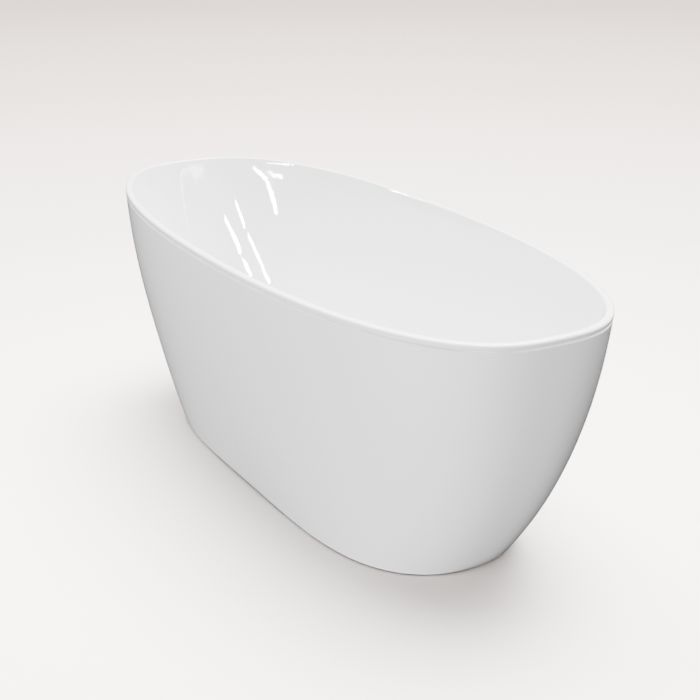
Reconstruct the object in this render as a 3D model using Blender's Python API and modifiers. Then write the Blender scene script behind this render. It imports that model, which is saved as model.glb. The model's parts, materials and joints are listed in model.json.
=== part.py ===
"""A freestanding double-walled acrylic bathtub, modelled as the pieces that it is built from.

X runs along the tub, Y across it and Z up. The origin is on the floor, under the tub's centre.
The basin and the skirt are stacks of ovals |x/a|^m + |y/b|^n = 1 whose sizes follow the height.
"""

import math

import bmesh
import bpy
import numpy as np
from mathutils import Matrix, Vector

# ---------------------------------------------------------------- driving dimensions, metres

LENGTH = 1.700                  # over the rim
WIDTH = 0.700
HEIGHT = 0.600                  # floor to the top of the rim
GAP = 0.0003                    # between pieces that touch
SEGMENTS = 40                   # facets round a shell, a multiple of 4
TURN_STEPS = 20                 # facets round a turned piece
HEX_STEPS = 12                  # points round a nut or a stud, a multiple of 6

# Skirt: the outer wall narrows towards the floor.
SKIRT_END_TAPER = 0.251         # each end moves in by this much, rim to floor
SKIRT_SIDE_TAPER = 0.1155
SKIRT_CLEARANCE = 0.004         # under the skirt's lower edge
END_CURVE = 2.44                # how fast the ends swell out from the floor
END_STRAIGHT = 0.354            # share of the end's line that is straight
SIDE_CURVE = 1.78
RIM_POWERS = (2.21, 2.72)       # m and n of the oval at the rim
FOOT_POWERS = (4.40, 2.18)      # m and n of the oval on the floor
POWER_CURVE = 4.9               # how fast the foot's oval turns into the rim's

# Rim and walls
ACRYLIC = 0.004
LAMINATE = 0.003                # glass-fibre backing behind each acrylic shell
RIM_WIDTH = 0.018
RIM_OUTER_RADIUS = 0.006
RIM_INNER_RADIUS = 0.005
LIP_DEPTH = 0.012               # the rim's lip turns down over the skirt's top edge
BEAD_DEPTH = 0.030              # adhesive under the rim
SKIRT_BANDS = (0.83, 0.64, 0.46, 0.29, 0.14)    # heights of its rings, as shares of HEIGHT
BEAD_CLEARANCE = 0.0006         # more than GAP, as the bead's facets cross the walls'

# Basin
FLOOR_HEIGHT = 0.152
FLOOR_END_INSET = 0.099         # from the skirt's foot to the edge of the flat floor
FLOOR_SIDE_INSET = 0.0845
FILLET_END = 0.120              # how far the floor's fillet runs out, at the ends and the sides
FILLET_SIDE = 0.070
FILLET_HEIGHT = 0.112
FLOOR_POWERS = (3.0, 2.5)
DRAIN_HOLE_RADIUS = 0.026
DISH_DEPTH = 0.003              # shallow dish that the waste flange sits in
DISH_SLOPE = 0.018

# Overflow in the middle of one long side
OVERFLOW_BELOW_RIM = 0.115
OVERFLOW_HOLE_RADIUS = 0.016
OVERFLOW_BAND = 0.045           # flat band above and below the overflow's centre
OVERFLOW_COVER_HEIGHT = 0.0185
OVERFLOW_FLANGE = 0.006         # the threaded ring's flange past the hole
OVERFLOW_SLOT_HALF_WIDTH = 0.012
OVERFLOW_BODY_WIDTH = 0.048
OVERFLOW_BODY_TOP = 0.021       # from the hole's centre up to the body's top
OVERFLOW_BODY_BOTTOM = 0.030
HOSE_DIAMETER = 0.017
HOSE_BORE = 0.012
HOSE_NUT_WALL = 0.0022
HOSE_NUT_LENGTH = 0.024
SPIGOT_LENGTH = 0.020
SPIGOT_RADIUS = 0.006
SPIGOT_WALL = 0.002
HOSE_BEHIND_WALL = 0.0017       # between the basin's backing and the hose nut
HOSE_UNDER_RAIL = 0.0075
HOSE_POINT_SPACING = 0.024

# Base board and frame
BOARD = 0.015
BOARD_MARGIN = 0.015            # inside the flat floor's edge
BOARD_POWERS = (4.0, 4.0)
BOARD_CUTOUT_CLEARANCE = 0.005
RAIL = 0.025                    # square steel tube
RAIL_WALL = 0.0015
RAIL_INSET = 0.040              # from the board's long edge to the rail's middle
RAIL_BESIDE_BODY = 0.002        # the least gap between a rail and the waste's body
RAIL_END_INSET = 0.039          # from the skirt's foot to the rail's end
CROSS_RAIL_FROM_END = 0.200
SCREW_RADIUS = 0.0025
SCREW_HEAD_RADIUS = 0.006
SCREW_HEAD_HEIGHT = 0.0035
SCREW_CLEARANCE = 0.0006
SCREW_FROM_END = 0.240

# Levelling feet
FOOT_FROM_RAIL_END = 0.070
STUD_RADIUS = 0.005
STUD_ABOVE_RAIL_UNDER = 0.019   # how far the stud reaches into the rail
NUT_ACROSS = 0.017
WELD_NUT_HEIGHT = 0.008
LOCK_NUT_HEIGHT = 0.006
PAD_RADIUS = 0.025
PAD_BASE = 0.006
PAD_HEIGHT = 0.015
PAD_CHAMFER = 0.002
SOCKET_WALL = 0.003
SOCKET_FLOOR = 0.004            # plastic under the stud's ball
BALL_RADIUS = 0.0055
BALL_ANGLES = (55, 25, 0, -25, -55)
STUD_CHAMFER = 0.001
NECK_LENGTH = 0.002             # between the socket and the stud's hexagon
HEX_ACROSS = 0.014
HEX_HEIGHT = 0.008

# Waste with a press-to-open plug
TUBE_CLEARANCE = 0.002
TUBE_WALL = 0.004
TUBE_LENGTH = 0.038
FLANGE_OVERHANG = 0.009
FLANGE_THICKNESS = 0.003
GASKET_TOP = 0.001
GASKET_UNDER = 0.003
WASTE_NUT_HEIGHT = 0.008
WASTE_NUT_WALL = 0.009
BODY_WALL = 0.0055
NECK_WALL = 0.0045              # round the tailpiece
SOCKET_STEP = 0.0015            # ledge that the tailpiece's end meets
BODY_DEPTH = 0.056
TAIL_RADIUS = 0.020
TAIL_WALL = 0.002
TAIL_SOCKET = 0.014
TAIL_CLEAR_OF_FLOOR = 0.030
SLIP_NUT_HEIGHT = 0.0195
PLUG_LIFT = 0.009
CAP_RADIUS = 0.030
CAP_THICKNESS = 0.0044
SEAL_WIDTH = 0.006
SEAL_THICKNESS = 0.002
STEM_RADIUS = 0.0032
CARTRIDGE_RADIUS = 0.0062
CARTRIDGE_LENGTH = 0.022
CARTRIDGE_FLANGE = 0.002        # width and height of the cartridge's top flange
HUB_HEIGHT = 0.012
HUB_BELOW_FLANGE = 0.016
HUB_WALL = 0.0025
ARM_HALF_WIDTH = 0.0015
ARM_INSET = 0.002               # from the hub's ends to the arms' edges
SPRING_RADIUS = 0.0065
SPRING_WIRE = 0.0008
SPRING_TURNS = 5

# ---------------------------------------------------------------- what follows from them

HALF_LENGTH = LENGTH / 2
HALF_WIDTH = WIDTH / 2
SKIRT_TOP = HEIGHT - RIM_OUTER_RADIUS           # the outer wall's full size is reached here
FOOT_HALF_LENGTH = HALF_LENGTH - SKIRT_END_TAPER
FOOT_HALF_WIDTH = HALF_WIDTH - SKIRT_SIDE_TAPER
FLOOR_HALF_LENGTH = FOOT_HALF_LENGTH - FLOOR_END_INSET
FLOOR_HALF_WIDTH = FOOT_HALF_WIDTH - FLOOR_SIDE_INSET
WALL_TOP = HEIGHT - RIM_INNER_RADIUS

FLANGE_RADIUS = DRAIN_HOLE_RADIUS + FLANGE_OVERHANG
DISH_SEAT_RADIUS = FLANGE_RADIUS + TUBE_CLEARANCE
DISH_RADIUS = DISH_SEAT_RADIUS + DISH_SLOPE
SEAT_Z = FLOOR_HEIGHT - DISH_DEPTH
SHELL_BUILD = ACRYLIC + GAP + LAMINATE          # acrylic and its backing together

TUBE_RADIUS = DRAIN_HOLE_RADIUS - TUBE_CLEARANCE
BODY_RADIUS = TUBE_RADIUS + BODY_WALL

BOARD_TOP = FLOOR_HEIGHT - SHELL_BUILD - GAP
BOARD_UNDER = BOARD_TOP - BOARD
BOARD_HALF_LENGTH = FLOOR_HALF_LENGTH - BOARD_MARGIN
BOARD_HALF_WIDTH = FLOOR_HALF_WIDTH - BOARD_MARGIN
BOARD_CUTOUT_RADIUS = DISH_RADIUS + BOARD_CUTOUT_CLEARANCE
RAIL_TOP = BOARD_UNDER - GAP
RAIL_UNDER = RAIL_TOP - RAIL
RAIL_Y = max(BOARD_HALF_WIDTH - RAIL_INSET, BODY_RADIUS + RAIL_BESIDE_BODY + RAIL / 2)
RAIL_HALF_LENGTH = FOOT_HALF_LENGTH - RAIL_END_INSET
CROSS_RAIL_X = RAIL_HALF_LENGTH - CROSS_RAIL_FROM_END
SCREW_X = RAIL_HALF_LENGTH - SCREW_FROM_END
FOOT_X = RAIL_HALF_LENGTH - FOOT_FROM_RAIL_END

HOSE_RADIUS = HOSE_DIAMETER / 2
HOSE_Z = RAIL_UNDER - HOSE_UNDER_RAIL - HOSE_RADIUS
OVERFLOW_Z = HEIGHT - OVERFLOW_BELOW_RIM

BORE_RADIUS = TUBE_RADIUS - TUBE_WALL
FLANGE_UNDER = SEAT_Z + GAP + GASKET_TOP + GAP
FLANGE_TOP = FLANGE_UNDER + FLANGE_THICKNESS
TUBE_END = FLANGE_TOP - TUBE_LENGTH
GASKET_UNDER_TOP = SEAT_Z - SHELL_BUILD - GAP
WASTE_NUT_TOP = GASKET_UNDER_TOP - GASKET_UNDER - GAP
BODY_TOP = WASTE_NUT_TOP - WASTE_NUT_HEIGHT - GAP
BODY_SHOULDER = BODY_TOP - BODY_DEPTH
NECK_END = BODY_SHOULDER - TAIL_SOCKET
NECK_RADIUS = TAIL_RADIUS + NECK_WALL
HUB_TOP = FLANGE_UNDER - HUB_BELOW_FLANGE
CARTRIDGE_TOP = HUB_TOP + GAP + CARTRIDGE_FLANGE
SEAL_UNDER = FLANGE_TOP + GAP + PLUG_LIFT
CAP_UNDER = SEAL_UNDER + SEAL_THICKNESS + GAP


# ---------------------------------------------------------------- scene, materials, helpers

for old in list(bpy.data.objects):
    bpy.data.objects.remove(old, do_unlink=True)

PARTS = bpy.data.collections.new("freestanding_bathtub")
CUTTERS = bpy.data.collections.new("cutters")
for group in (PARTS, CUTTERS):
    bpy.context.scene.collection.children.link(group)


def material(name, color, roughness, metallic=0.0):
    """A plain Principled finish."""
    made = bpy.data.materials.new(name)
    made.use_nodes = True
    shader = made.node_tree.nodes["Principled BSDF"]
    shader.inputs["Base Color"].default_value = (*color, 1.0)
    shader.inputs["Roughness"].default_value = roughness
    shader.inputs["Metallic"].default_value = metallic
    return made


WHITE_ACRYLIC = material("white_acrylic", (0.88, 0.88, 0.87), 0.08)
GLASS_FIBRE = material("glass_fibre", (0.62, 0.60, 0.50), 0.55)
ADHESIVE = material("adhesive", (0.80, 0.80, 0.78), 0.60)
PLYWOOD = material("plywood", (0.50, 0.36, 0.22), 0.70)
GALVANISED = material("galvanised_steel", (0.55, 0.56, 0.57), 0.40, 1.0)
ZINC = material("zinc_plated_steel", (0.66, 0.65, 0.60), 0.30, 1.0)
CHROME = material("chrome", (0.80, 0.81, 0.82), 0.06, 1.0)
BRASS = material("brass", (0.70, 0.52, 0.24), 0.30, 1.0)
RUBBER = material("black_rubber", (0.03, 0.03, 0.03), 0.75)
BLACK_PLASTIC = material("black_plastic", (0.05, 0.05, 0.05), 0.45)
WHITE_PLASTIC = material("white_plastic", (0.75, 0.75, 0.73), 0.40)
GREY_HOSE = material("grey_hose", (0.45, 0.46, 0.47), 0.50)


def add_object(name, data, finish=None, frame=Matrix()):
    """Put data into the scene: a part when it has a finish, a cutter when it has none."""
    made = bpy.data.objects.new(name, data)
    made.matrix_world = frame
    if finish is None:
        CUTTERS.objects.link(made)
        made.hide_render = True
        made.display_type = "WIRE"
    else:
        PARTS.objects.link(made)
        data.materials.append(finish)
    return made


def modifier(target, kind, **settings):
    made = target.modifiers.new(kind.title(), kind)
    for key, value in settings.items():
        setattr(made, key, value)
    return made


def combine(target, operation, *operands):
    """Cut operands out of a piece, or weld them to it."""
    for operand in operands:
        modifier(target, "BOOLEAN", operation=operation, solver="EXACT", object=operand)


def oval(half_x, half_y, powers, z):
    """Ring on |x/a|^m + |y/b|^n = 1, turned so that a flat facet crosses each axis."""
    step = 2 * math.pi / SEGMENTS
    angle = step * (np.arange(SEGMENTS) + 0.5)
    across, up = np.cos(angle) / math.cos(step / 2), np.sin(angle) / math.cos(step / 2)
    x = half_x * np.sign(across) * np.abs(across) ** (2 / powers[0])
    y = half_y * np.sign(up) * np.abs(up) ** (2 / powers[1])
    return np.column_stack([x, y, np.full(SEGMENTS, z)])


def circle(radius, z, count=SEGMENTS):
    angle = 2 * math.pi * (np.arange(count) + 0.5) / count
    return np.column_stack([radius * np.cos(angle), radius * np.sin(angle), np.full(count, z)])


def hexagon(across, z):
    """Ring on a hexagon: the radius is that of the nearest flat, seen from the ring's angle."""
    angle = 2 * math.pi * np.arange(HEX_STEPS) / HEX_STEPS
    from_flat = np.mod(angle, math.pi / 3) - math.pi / 6
    radius = across / 2 / np.cos(from_flat)
    return np.column_stack([radius * np.cos(angle), radius * np.sin(angle), np.full(HEX_STEPS, z)])


def round_ring(radius, z):
    """A round ring whose points line up with a hexagon's."""
    angle = 2 * math.pi * np.arange(HEX_STEPS) / HEX_STEPS
    return np.column_stack([radius * np.cos(angle), radius * np.sin(angle), np.full(HEX_STEPS, z)])


def bore_ring(radius, z):
    """A ring whose flats, not its corners, lie at the radius, so a shaft turns inside it."""
    return round_ring(radius / math.cos(math.pi / HEX_STEPS), z)


def outset(ring, distance, z=None):
    """Move a ring outwards in its plane, each point along the normal between its neighbours."""
    along = np.roll(ring, -1, axis=0) - np.roll(ring, 1, axis=0)
    normal = np.column_stack([along[:, 1], -along[:, 0], np.zeros(len(ring))])
    moved = ring + distance * normal / np.linalg.norm(normal, axis=1)[:, None]
    if z is not None:
        moved[:, 2] = z
    return moved


def loft(name, rings, finish, ends="open"):
    """Skin equal rings, top to bottom for an outer wall; ends are open, capped or closed."""
    count = len(rings[0])
    bands = len(rings) if ends == "closed" else len(rings) - 1
    faces = []
    for band in range(bands):
        low, high = band * count, (band + 1) % len(rings) * count
        for k in range(count):
            after = (k + 1) % count
            faces.append((low + k, high + after, low + after))
            faces.append((low + k, high + k, high + after))
    if ends == "capped":
        last = (len(rings) - 1) * count
        faces.append(tuple(range(count)))
        faces.append(tuple(reversed(range(last, last + count))))
    mesh = bpy.data.meshes.new(name)
    mesh.from_pydata(np.vstack(rings).tolist(), [], faces)
    mesh.shade_smooth()
    mesh.set_sharp_from_angle(angle=math.radians(35))
    return add_object(name, mesh, finish)


def layer(name, rings, thickness, depth, finish):
    """A wall that lies behind a surface, from depth to depth plus thickness."""
    made = loft(name, rings, finish)
    modifier(made, "SOLIDIFY", thickness=thickness, offset=-1 - 2 * depth / thickness,
             use_even_offset=True, use_quality_normals=True)
    return made


def turned(name, profile, finish, frame=Matrix(), steps=TURN_STEPS, closed=True):
    """Turn a profile of (radius, z) about Z; it runs down the outer side first."""
    mesh = bpy.data.meshes.new(name)
    edges = [(k, k + 1) for k in range(len(profile) - 1)]
    if closed:
        edges.append((len(profile) - 1, 0))
    mesh.from_pydata([(radius, 0.0, z) for radius, z in profile], edges, [])
    made = add_object(name, mesh, finish, frame)
    modifier(made, "SCREW", angle=2 * math.pi, steps=steps, render_steps=steps,
             use_merge_vertices=True, merge_threshold=0.00005, use_smooth_shade=True)
    return made


def washer(name, inner, outer, bottom, top, finish, frame=Matrix(), steps=TURN_STEPS):
    profile = [(outer, top), (outer, bottom), (inner, bottom), (inner, top)]
    return turned(name, profile, finish, frame, steps)


def rod(name, radius, bottom, top, finish=None, frame=Matrix(), steps=TURN_STEPS):
    """A solid cylinder from bottom to top, as a part or as a cutter."""
    mesh = bpy.data.meshes.new(name)
    shape = bmesh.new()
    place = Matrix.Translation((0, 0, (bottom + top) / 2))
    bmesh.ops.create_cone(shape, cap_ends=True, segments=steps, radius1=radius, radius2=radius,
                          depth=top - bottom, matrix=place)
    shape.to_mesh(mesh)
    shape.free()
    return add_object(name, mesh, finish, frame)


def block(name, low, high, finish=None, frame=Matrix()):
    mesh = bpy.data.meshes.new(name)
    shape = bmesh.new()
    low, high = Vector(low), Vector(high)
    place = Matrix.Translation((low + high) / 2) @ Matrix.Diagonal((*(high - low), 1.0))
    bmesh.ops.create_cube(shape, size=1.0, matrix=place)
    shape.to_mesh(mesh)
    shape.free()
    return add_object(name, mesh, finish, frame)


def facing(origin, direction):
    """A frame at origin whose Z axis looks along direction, with X level."""
    z_axis = Vector(direction).normalized()
    x_axis = Vector((1, 0, 0))
    y_axis = z_axis.cross(x_axis)
    turn = Matrix((x_axis, y_axis, z_axis)).transposed().to_4x4()
    return Matrix.Translation(origin) @ turn


def through(points, spacing):
    """Points at a spacing along the smooth curve through a route's own points."""
    route = np.asarray(points, float)
    ends = np.vstack([2 * route[0] - route[1], route, 2 * route[-1] - route[-2]])
    smooth = []
    for a, b, c, d in zip(ends, ends[1:], ends[2:], ends[3:]):
        steps = max(2, round(float(np.linalg.norm(c - b)) / spacing))
        for t in np.arange(steps) / steps:
            smooth.append(0.5 * (2 * b + (c - a) * t + (2 * a - 5 * b + 4 * c - d) * t ** 2
                                 + (3 * b - a - 3 * c + d) * t ** 3))
    return smooth + [route[-1]]


def tube(name, points, radius, finish):
    """A round bar or hose along points."""
    curve = bpy.data.curves.new(name, "CURVE")
    curve.dimensions = "3D"
    curve.bevel_depth = radius
    curve.bevel_resolution = 2
    curve.use_fill_caps = True
    spline = curve.splines.new("POLY")
    spline.points.add(len(points) - 1)
    for point, place in zip(spline.points, points):
        point.co = (*place, 1.0)
    return add_object(name, curve, finish)


# ---------------------------------------------------------------- the two walls as formulas

def skirt_size(z):
    """Half length, half width and powers of the outer wall's oval at a height."""
    up = min(max(z / SKIRT_TOP, 0.0), 1.0)
    swell_x = (1 - END_STRAIGHT) * (1 - (1 - up) ** END_CURVE) + END_STRAIGHT * up
    swell_y = 1 - (1 - up) ** SIDE_CURVE
    turn = 1 - (1 - up) ** POWER_CURVE
    powers = [low + (high - low) * turn for low, high in zip(FOOT_POWERS, RIM_POWERS)]
    half_x = FOOT_HALF_LENGTH + SKIRT_END_TAPER * swell_x
    half_y = FOOT_HALF_WIDTH + SKIRT_SIDE_TAPER * swell_y
    return half_x, half_y, powers


def skirt_ring(z, inset=0.0):
    half_x, half_y, powers = skirt_size(z)
    return outset(oval(half_x, half_y, powers, z), -inset)


def floor_ring():
    return oval(FLOOR_HALF_LENGTH, FLOOR_HALF_WIDTH, FLOOR_POWERS, FLOOR_HEIGHT)


def wall_ring(z):
    """The basin wall: an elliptic fillet off the floor, then straight to the rim's edge."""
    floor = floor_ring()
    foot = oval(FLOOR_HALF_LENGTH + FILLET_END, FLOOR_HALF_WIDTH + FILLET_SIDE, FLOOR_POWERS, z)
    rim = skirt_ring(SKIRT_TOP, RIM_WIDTH)
    rise = (z - FLOOR_HEIGHT) / (WALL_TOP - FLOOR_HEIGHT)
    turn = math.sqrt(1 - (1 - min((z - FLOOR_HEIGHT) / FILLET_HEIGHT, 1.0)) ** 2)
    ring = floor + (foot - floor) * turn + (rim - foot) * rise
    ring[:, 2] = z
    return ring


def side_y(ring):
    """How far a ring's facet over the Y axis stands out."""
    return float(ring[:, 1].max())


# ---------------------------------------------------------------- basin

def arc(radius, steps):
    """Points of a quarter round, as how far each lies inwards and downwards from the corner."""
    angle = np.radians(np.linspace(0, 90, steps + 1))
    return [(radius * (1 - math.cos(a)), radius * (1 - math.sin(a))) for a in angle]


def basin_rings():
    """Drain hole, dish, floor, fillet, wall, rim and lip, and where the backing stops."""
    rings = [circle(DRAIN_HOLE_RADIUS, SEAT_Z)]
    rings.append(circle(DISH_SEAT_RADIUS, SEAT_Z))
    rings.append(circle(DISH_RADIUS, FLOOR_HEIGHT))
    rings.append(floor_ring())
    for share in (0.08, 0.35, 1.0):
        rings.append(wall_ring(FLOOR_HEIGHT + FILLET_HEIGHT * share))
    rings.append(wall_ring((FLOOR_HEIGHT + FILLET_HEIGHT + OVERFLOW_Z - OVERFLOW_BAND) / 2))
    rings.append(wall_ring(OVERFLOW_Z - OVERFLOW_BAND))
    rings.append(wall_ring(OVERFLOW_Z + OVERFLOW_BAND))
    backed = len(rings)
    edge = skirt_ring(SKIRT_TOP)
    for inwards, downwards in arc(RIM_INNER_RADIUS, 2):
        rings.append(outset(edge, inwards - RIM_WIDTH, HEIGHT - downwards))
    for inwards, downwards in reversed(arc(RIM_OUTER_RADIUS, 2)):
        rings.append(outset(edge, -inwards, HEIGHT - downwards))
    rings.append(skirt_ring(HEIGHT - LIP_DEPTH))
    return rings, backed


def overflow_place():
    """The frame on the basin wall's inner face: Z looks into the tub and Y down the wall."""
    low = wall_ring(OVERFLOW_Z - OVERFLOW_BAND)
    high = wall_ring(OVERFLOW_Z + OVERFLOW_BAND)
    lean = side_y(high) - side_y(low)
    origin = (0.0, -(side_y(high) + side_y(low)) / 2, OVERFLOW_Z)
    return facing(origin, (0.0, 2 * OVERFLOW_BAND, lean))


OVERFLOW = overflow_place()


def make_shells():
    """Basin and skirt in acrylic, their glass-fibre backing and the adhesive that joins them."""
    rings, backed = basin_rings()
    wall_hole = rod("overflow_hole_cutter", OVERFLOW_HOLE_RADIUS, -0.020, 0.020, frame=OVERFLOW)
    basin = layer("basin_shell", rings, ACRYLIC, 0.0, WHITE_ACRYLIC)
    backing = layer("basin_laminate", rings[:backed], LAMINATE, ACRYLIC + GAP, GLASS_FIBRE)
    combine(basin, "DIFFERENCE", wall_hole)
    combine(backing, "DIFFERENCE", wall_hole)

    skirt_top = HEIGHT - LIP_DEPTH - GAP
    heights = [share * HEIGHT for share in SKIRT_BANDS]
    outer = [skirt_ring(z) for z in [skirt_top, *heights, SKIRT_CLEARANCE]]
    layer("skirt_shell", outer, ACRYLIC, 0.0, WHITE_ACRYLIC)
    layer("skirt_laminate", outer[1:-1], LAMINATE, ACRYLIC + GAP, GLASS_FIBRE)

    top = HEIGHT - RIM_OUTER_RADIUS - BEAD_CLEARANCE
    bottom = HEIGHT - BEAD_DEPTH
    clear = ACRYLIC + GAP + BEAD_CLEARANCE
    bead = [skirt_ring(top, clear), skirt_ring(bottom, clear)]
    bead.append(outset(wall_ring(bottom), clear))
    bead.append(outset(wall_ring(top), clear))
    loft("rim_bond_bead", bead, ADHESIVE, ends="closed")


# ---------------------------------------------------------------- base board and frame

def screw_places():
    for end, x in (("left", -SCREW_X), ("right", SCREW_X)):
        for side, y in (("front", -RAIL_Y), ("back", RAIL_Y)):
            yield f"{side}_{end}", x, y


def make_board():
    """Plywood under the flat floor, with holes for the waste and the frame's screws."""
    curve = bpy.data.curves.new("base_board", "CURVE")
    curve.dimensions = "2D"
    curve.fill_mode = "BOTH"
    curve.extrude = BOARD / 2
    outlines = [oval(BOARD_HALF_LENGTH, BOARD_HALF_WIDTH, BOARD_POWERS, 0.0)]
    outlines.append(circle(BOARD_CUTOUT_RADIUS, 0.0, TURN_STEPS))
    for _, x, y in screw_places():
        outlines.append(circle(SCREW_RADIUS + SCREW_CLEARANCE, 0.0, 8) + (x, y, 0.0))
    for outline in outlines:
        spline = curve.splines.new("POLY")
        spline.points.add(len(outline) - 1)
        spline.use_cyclic_u = True
        for point, place in zip(spline.points, outline):
            point.co = (*place, 1.0)
    middle = (BOARD_TOP + BOARD_UNDER) / 2
    add_object("base_board", curve, PLYWOOD, Matrix.Translation((0, 0, middle)))


def square_tube(name, half_length, frame):
    """A square tube along X."""
    half = RAIL / 2
    corners = np.array([(0, half, half), (0, -half, half), (0, -half, -half), (0, half, -half)])
    ends = [corners + (half_length, 0, 0), corners + (-half_length, 0, 0)]
    made = loft(name, ends, GALVANISED)
    made.matrix_world = frame
    modifier(made, "SOLIDIFY", thickness=RAIL_WALL, offset=-1, use_even_offset=True)
    return made


def make_frame():
    """Two long rails with welded nuts, two cross rails between them and four screws."""
    middle = (RAIL_TOP + RAIL_UNDER) / 2
    for side, y in (("front", -RAIL_Y), ("back", RAIL_Y)):
        rail = square_tube(f"rail_{side}", RAIL_HALF_LENGTH, Matrix.Translation((0, y, middle)))
        for end, x in (("left", -FOOT_X), ("right", FOOT_X)):
            place = Matrix.Translation((x, y, 0))
            nut = loft(f"weld_nut_{side}_{end}",
                       [hexagon(NUT_ACROSS, RAIL_UNDER + RAIL_WALL / 2),
                        hexagon(NUT_ACROSS, RAIL_UNDER - WELD_NUT_HEIGHT)], None, ends="capped")
            nut.matrix_world = place
            bore = (STUD_RADIUS + GAP) / math.cos(math.pi / HEX_STEPS)
            hole = rod(f"stud_hole_{side}_{end}", bore, RAIL_UNDER - 2 * WELD_NUT_HEIGHT,
                       RAIL_UNDER + RAIL / 2, frame=place, steps=HEX_STEPS)
            combine(rail, "UNION", nut)
            combine(rail, "DIFFERENCE", hole)
        for end, x in (("left", -SCREW_X), ("right", SCREW_X)):
            hole = rod(f"screw_hole_{side}_{end}", SCREW_RADIUS + SCREW_CLEARANCE,
                       RAIL_UNDER - RAIL / 2, RAIL_TOP + RAIL / 2,
                       frame=Matrix.Translation((x, y, 0)), steps=8)
            combine(rail, "DIFFERENCE", hole)
    turn = Matrix.Rotation(math.pi / 2, 4, "Z")
    for end, x in (("left", -CROSS_RAIL_X), ("right", CROSS_RAIL_X)):
        square_tube(f"cross_rail_{end}", RAIL_Y - RAIL / 2 - GAP,
                    Matrix.Translation((x, 0, middle)) @ turn)
    head = RAIL_UNDER - GAP
    for place, x, y in screw_places():
        profile = [(0.0, BOARD_TOP - GAP), (SCREW_RADIUS, BOARD_TOP - GAP), (SCREW_RADIUS, head),
                   (SCREW_HEAD_RADIUS, head), (SCREW_HEAD_RADIUS, head - 0.001),
                   (SCREW_HEAD_RADIUS / 2, head - SCREW_HEAD_HEIGHT),
                   (0.0, head - SCREW_HEAD_HEIGHT)]
        turned(f"frame_screw_{place}", profile, ZINC, Matrix.Translation((x, y, 0)), 10, False)


# ---------------------------------------------------------------- levelling feet

def make_foot(place, x, y):
    """A pad on the floor, a threaded stud standing in its socket and the stud's lock nut."""
    at = Matrix.Translation((x, y, 0))
    socket = BALL_RADIUS + GAP
    turned(f"foot_{place}_pad", [
        (0.0, SOCKET_FLOOR), (socket, SOCKET_FLOOR), (socket, PAD_HEIGHT),
        (socket + SOCKET_WALL, PAD_HEIGHT), (socket + SOCKET_WALL + PAD_CHAMFER, PAD_BASE + GAP),
        (PAD_RADIUS - PAD_CHAMFER, PAD_BASE), (PAD_RADIUS, PAD_BASE - PAD_CHAMFER),
        (PAD_RADIUS, 0.0), (0.0, 0.0)], BLACK_PLASTIC, at, 16, closed=False)

    ball = SOCKET_FLOOR + GAP + BALL_RADIUS
    hex_bottom = PAD_HEIGHT + GAP + NECK_LENGTH
    hex_top = hex_bottom + HEX_HEIGHT
    stud_top = RAIL_UNDER + STUD_ABOVE_RAIL_UNDER
    rings = [round_ring(STUD_RADIUS - STUD_CHAMFER, stud_top),
             round_ring(STUD_RADIUS, stud_top - STUD_CHAMFER),
             round_ring(STUD_RADIUS, hex_top), hexagon(HEX_ACROSS, hex_top),
             hexagon(HEX_ACROSS, hex_bottom),
             round_ring(BALL_RADIUS * math.cos(math.radians(BALL_ANGLES[0])), hex_bottom)]
    for degrees in BALL_ANGLES:
        angle = math.radians(degrees)
        rings.append(round_ring(BALL_RADIUS * math.cos(angle), ball + BALL_RADIUS * math.sin(angle)))
    stud = loft(f"foot_{place}_stud", rings, ZINC, ends="capped")
    stud.matrix_world = at

    nut_top = RAIL_UNDER - WELD_NUT_HEIGHT - GAP
    nut_bottom = nut_top - LOCK_NUT_HEIGHT
    bore = STUD_RADIUS + GAP
    nut = loft(f"foot_{place}_lock_nut",
               [hexagon(NUT_ACROSS, nut_top), hexagon(NUT_ACROSS, nut_bottom),
                bore_ring(bore, nut_bottom), bore_ring(bore, nut_top)], ZINC, ends="closed")
    nut.matrix_world = at


# ---------------------------------------------------------------- waste and plug

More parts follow.
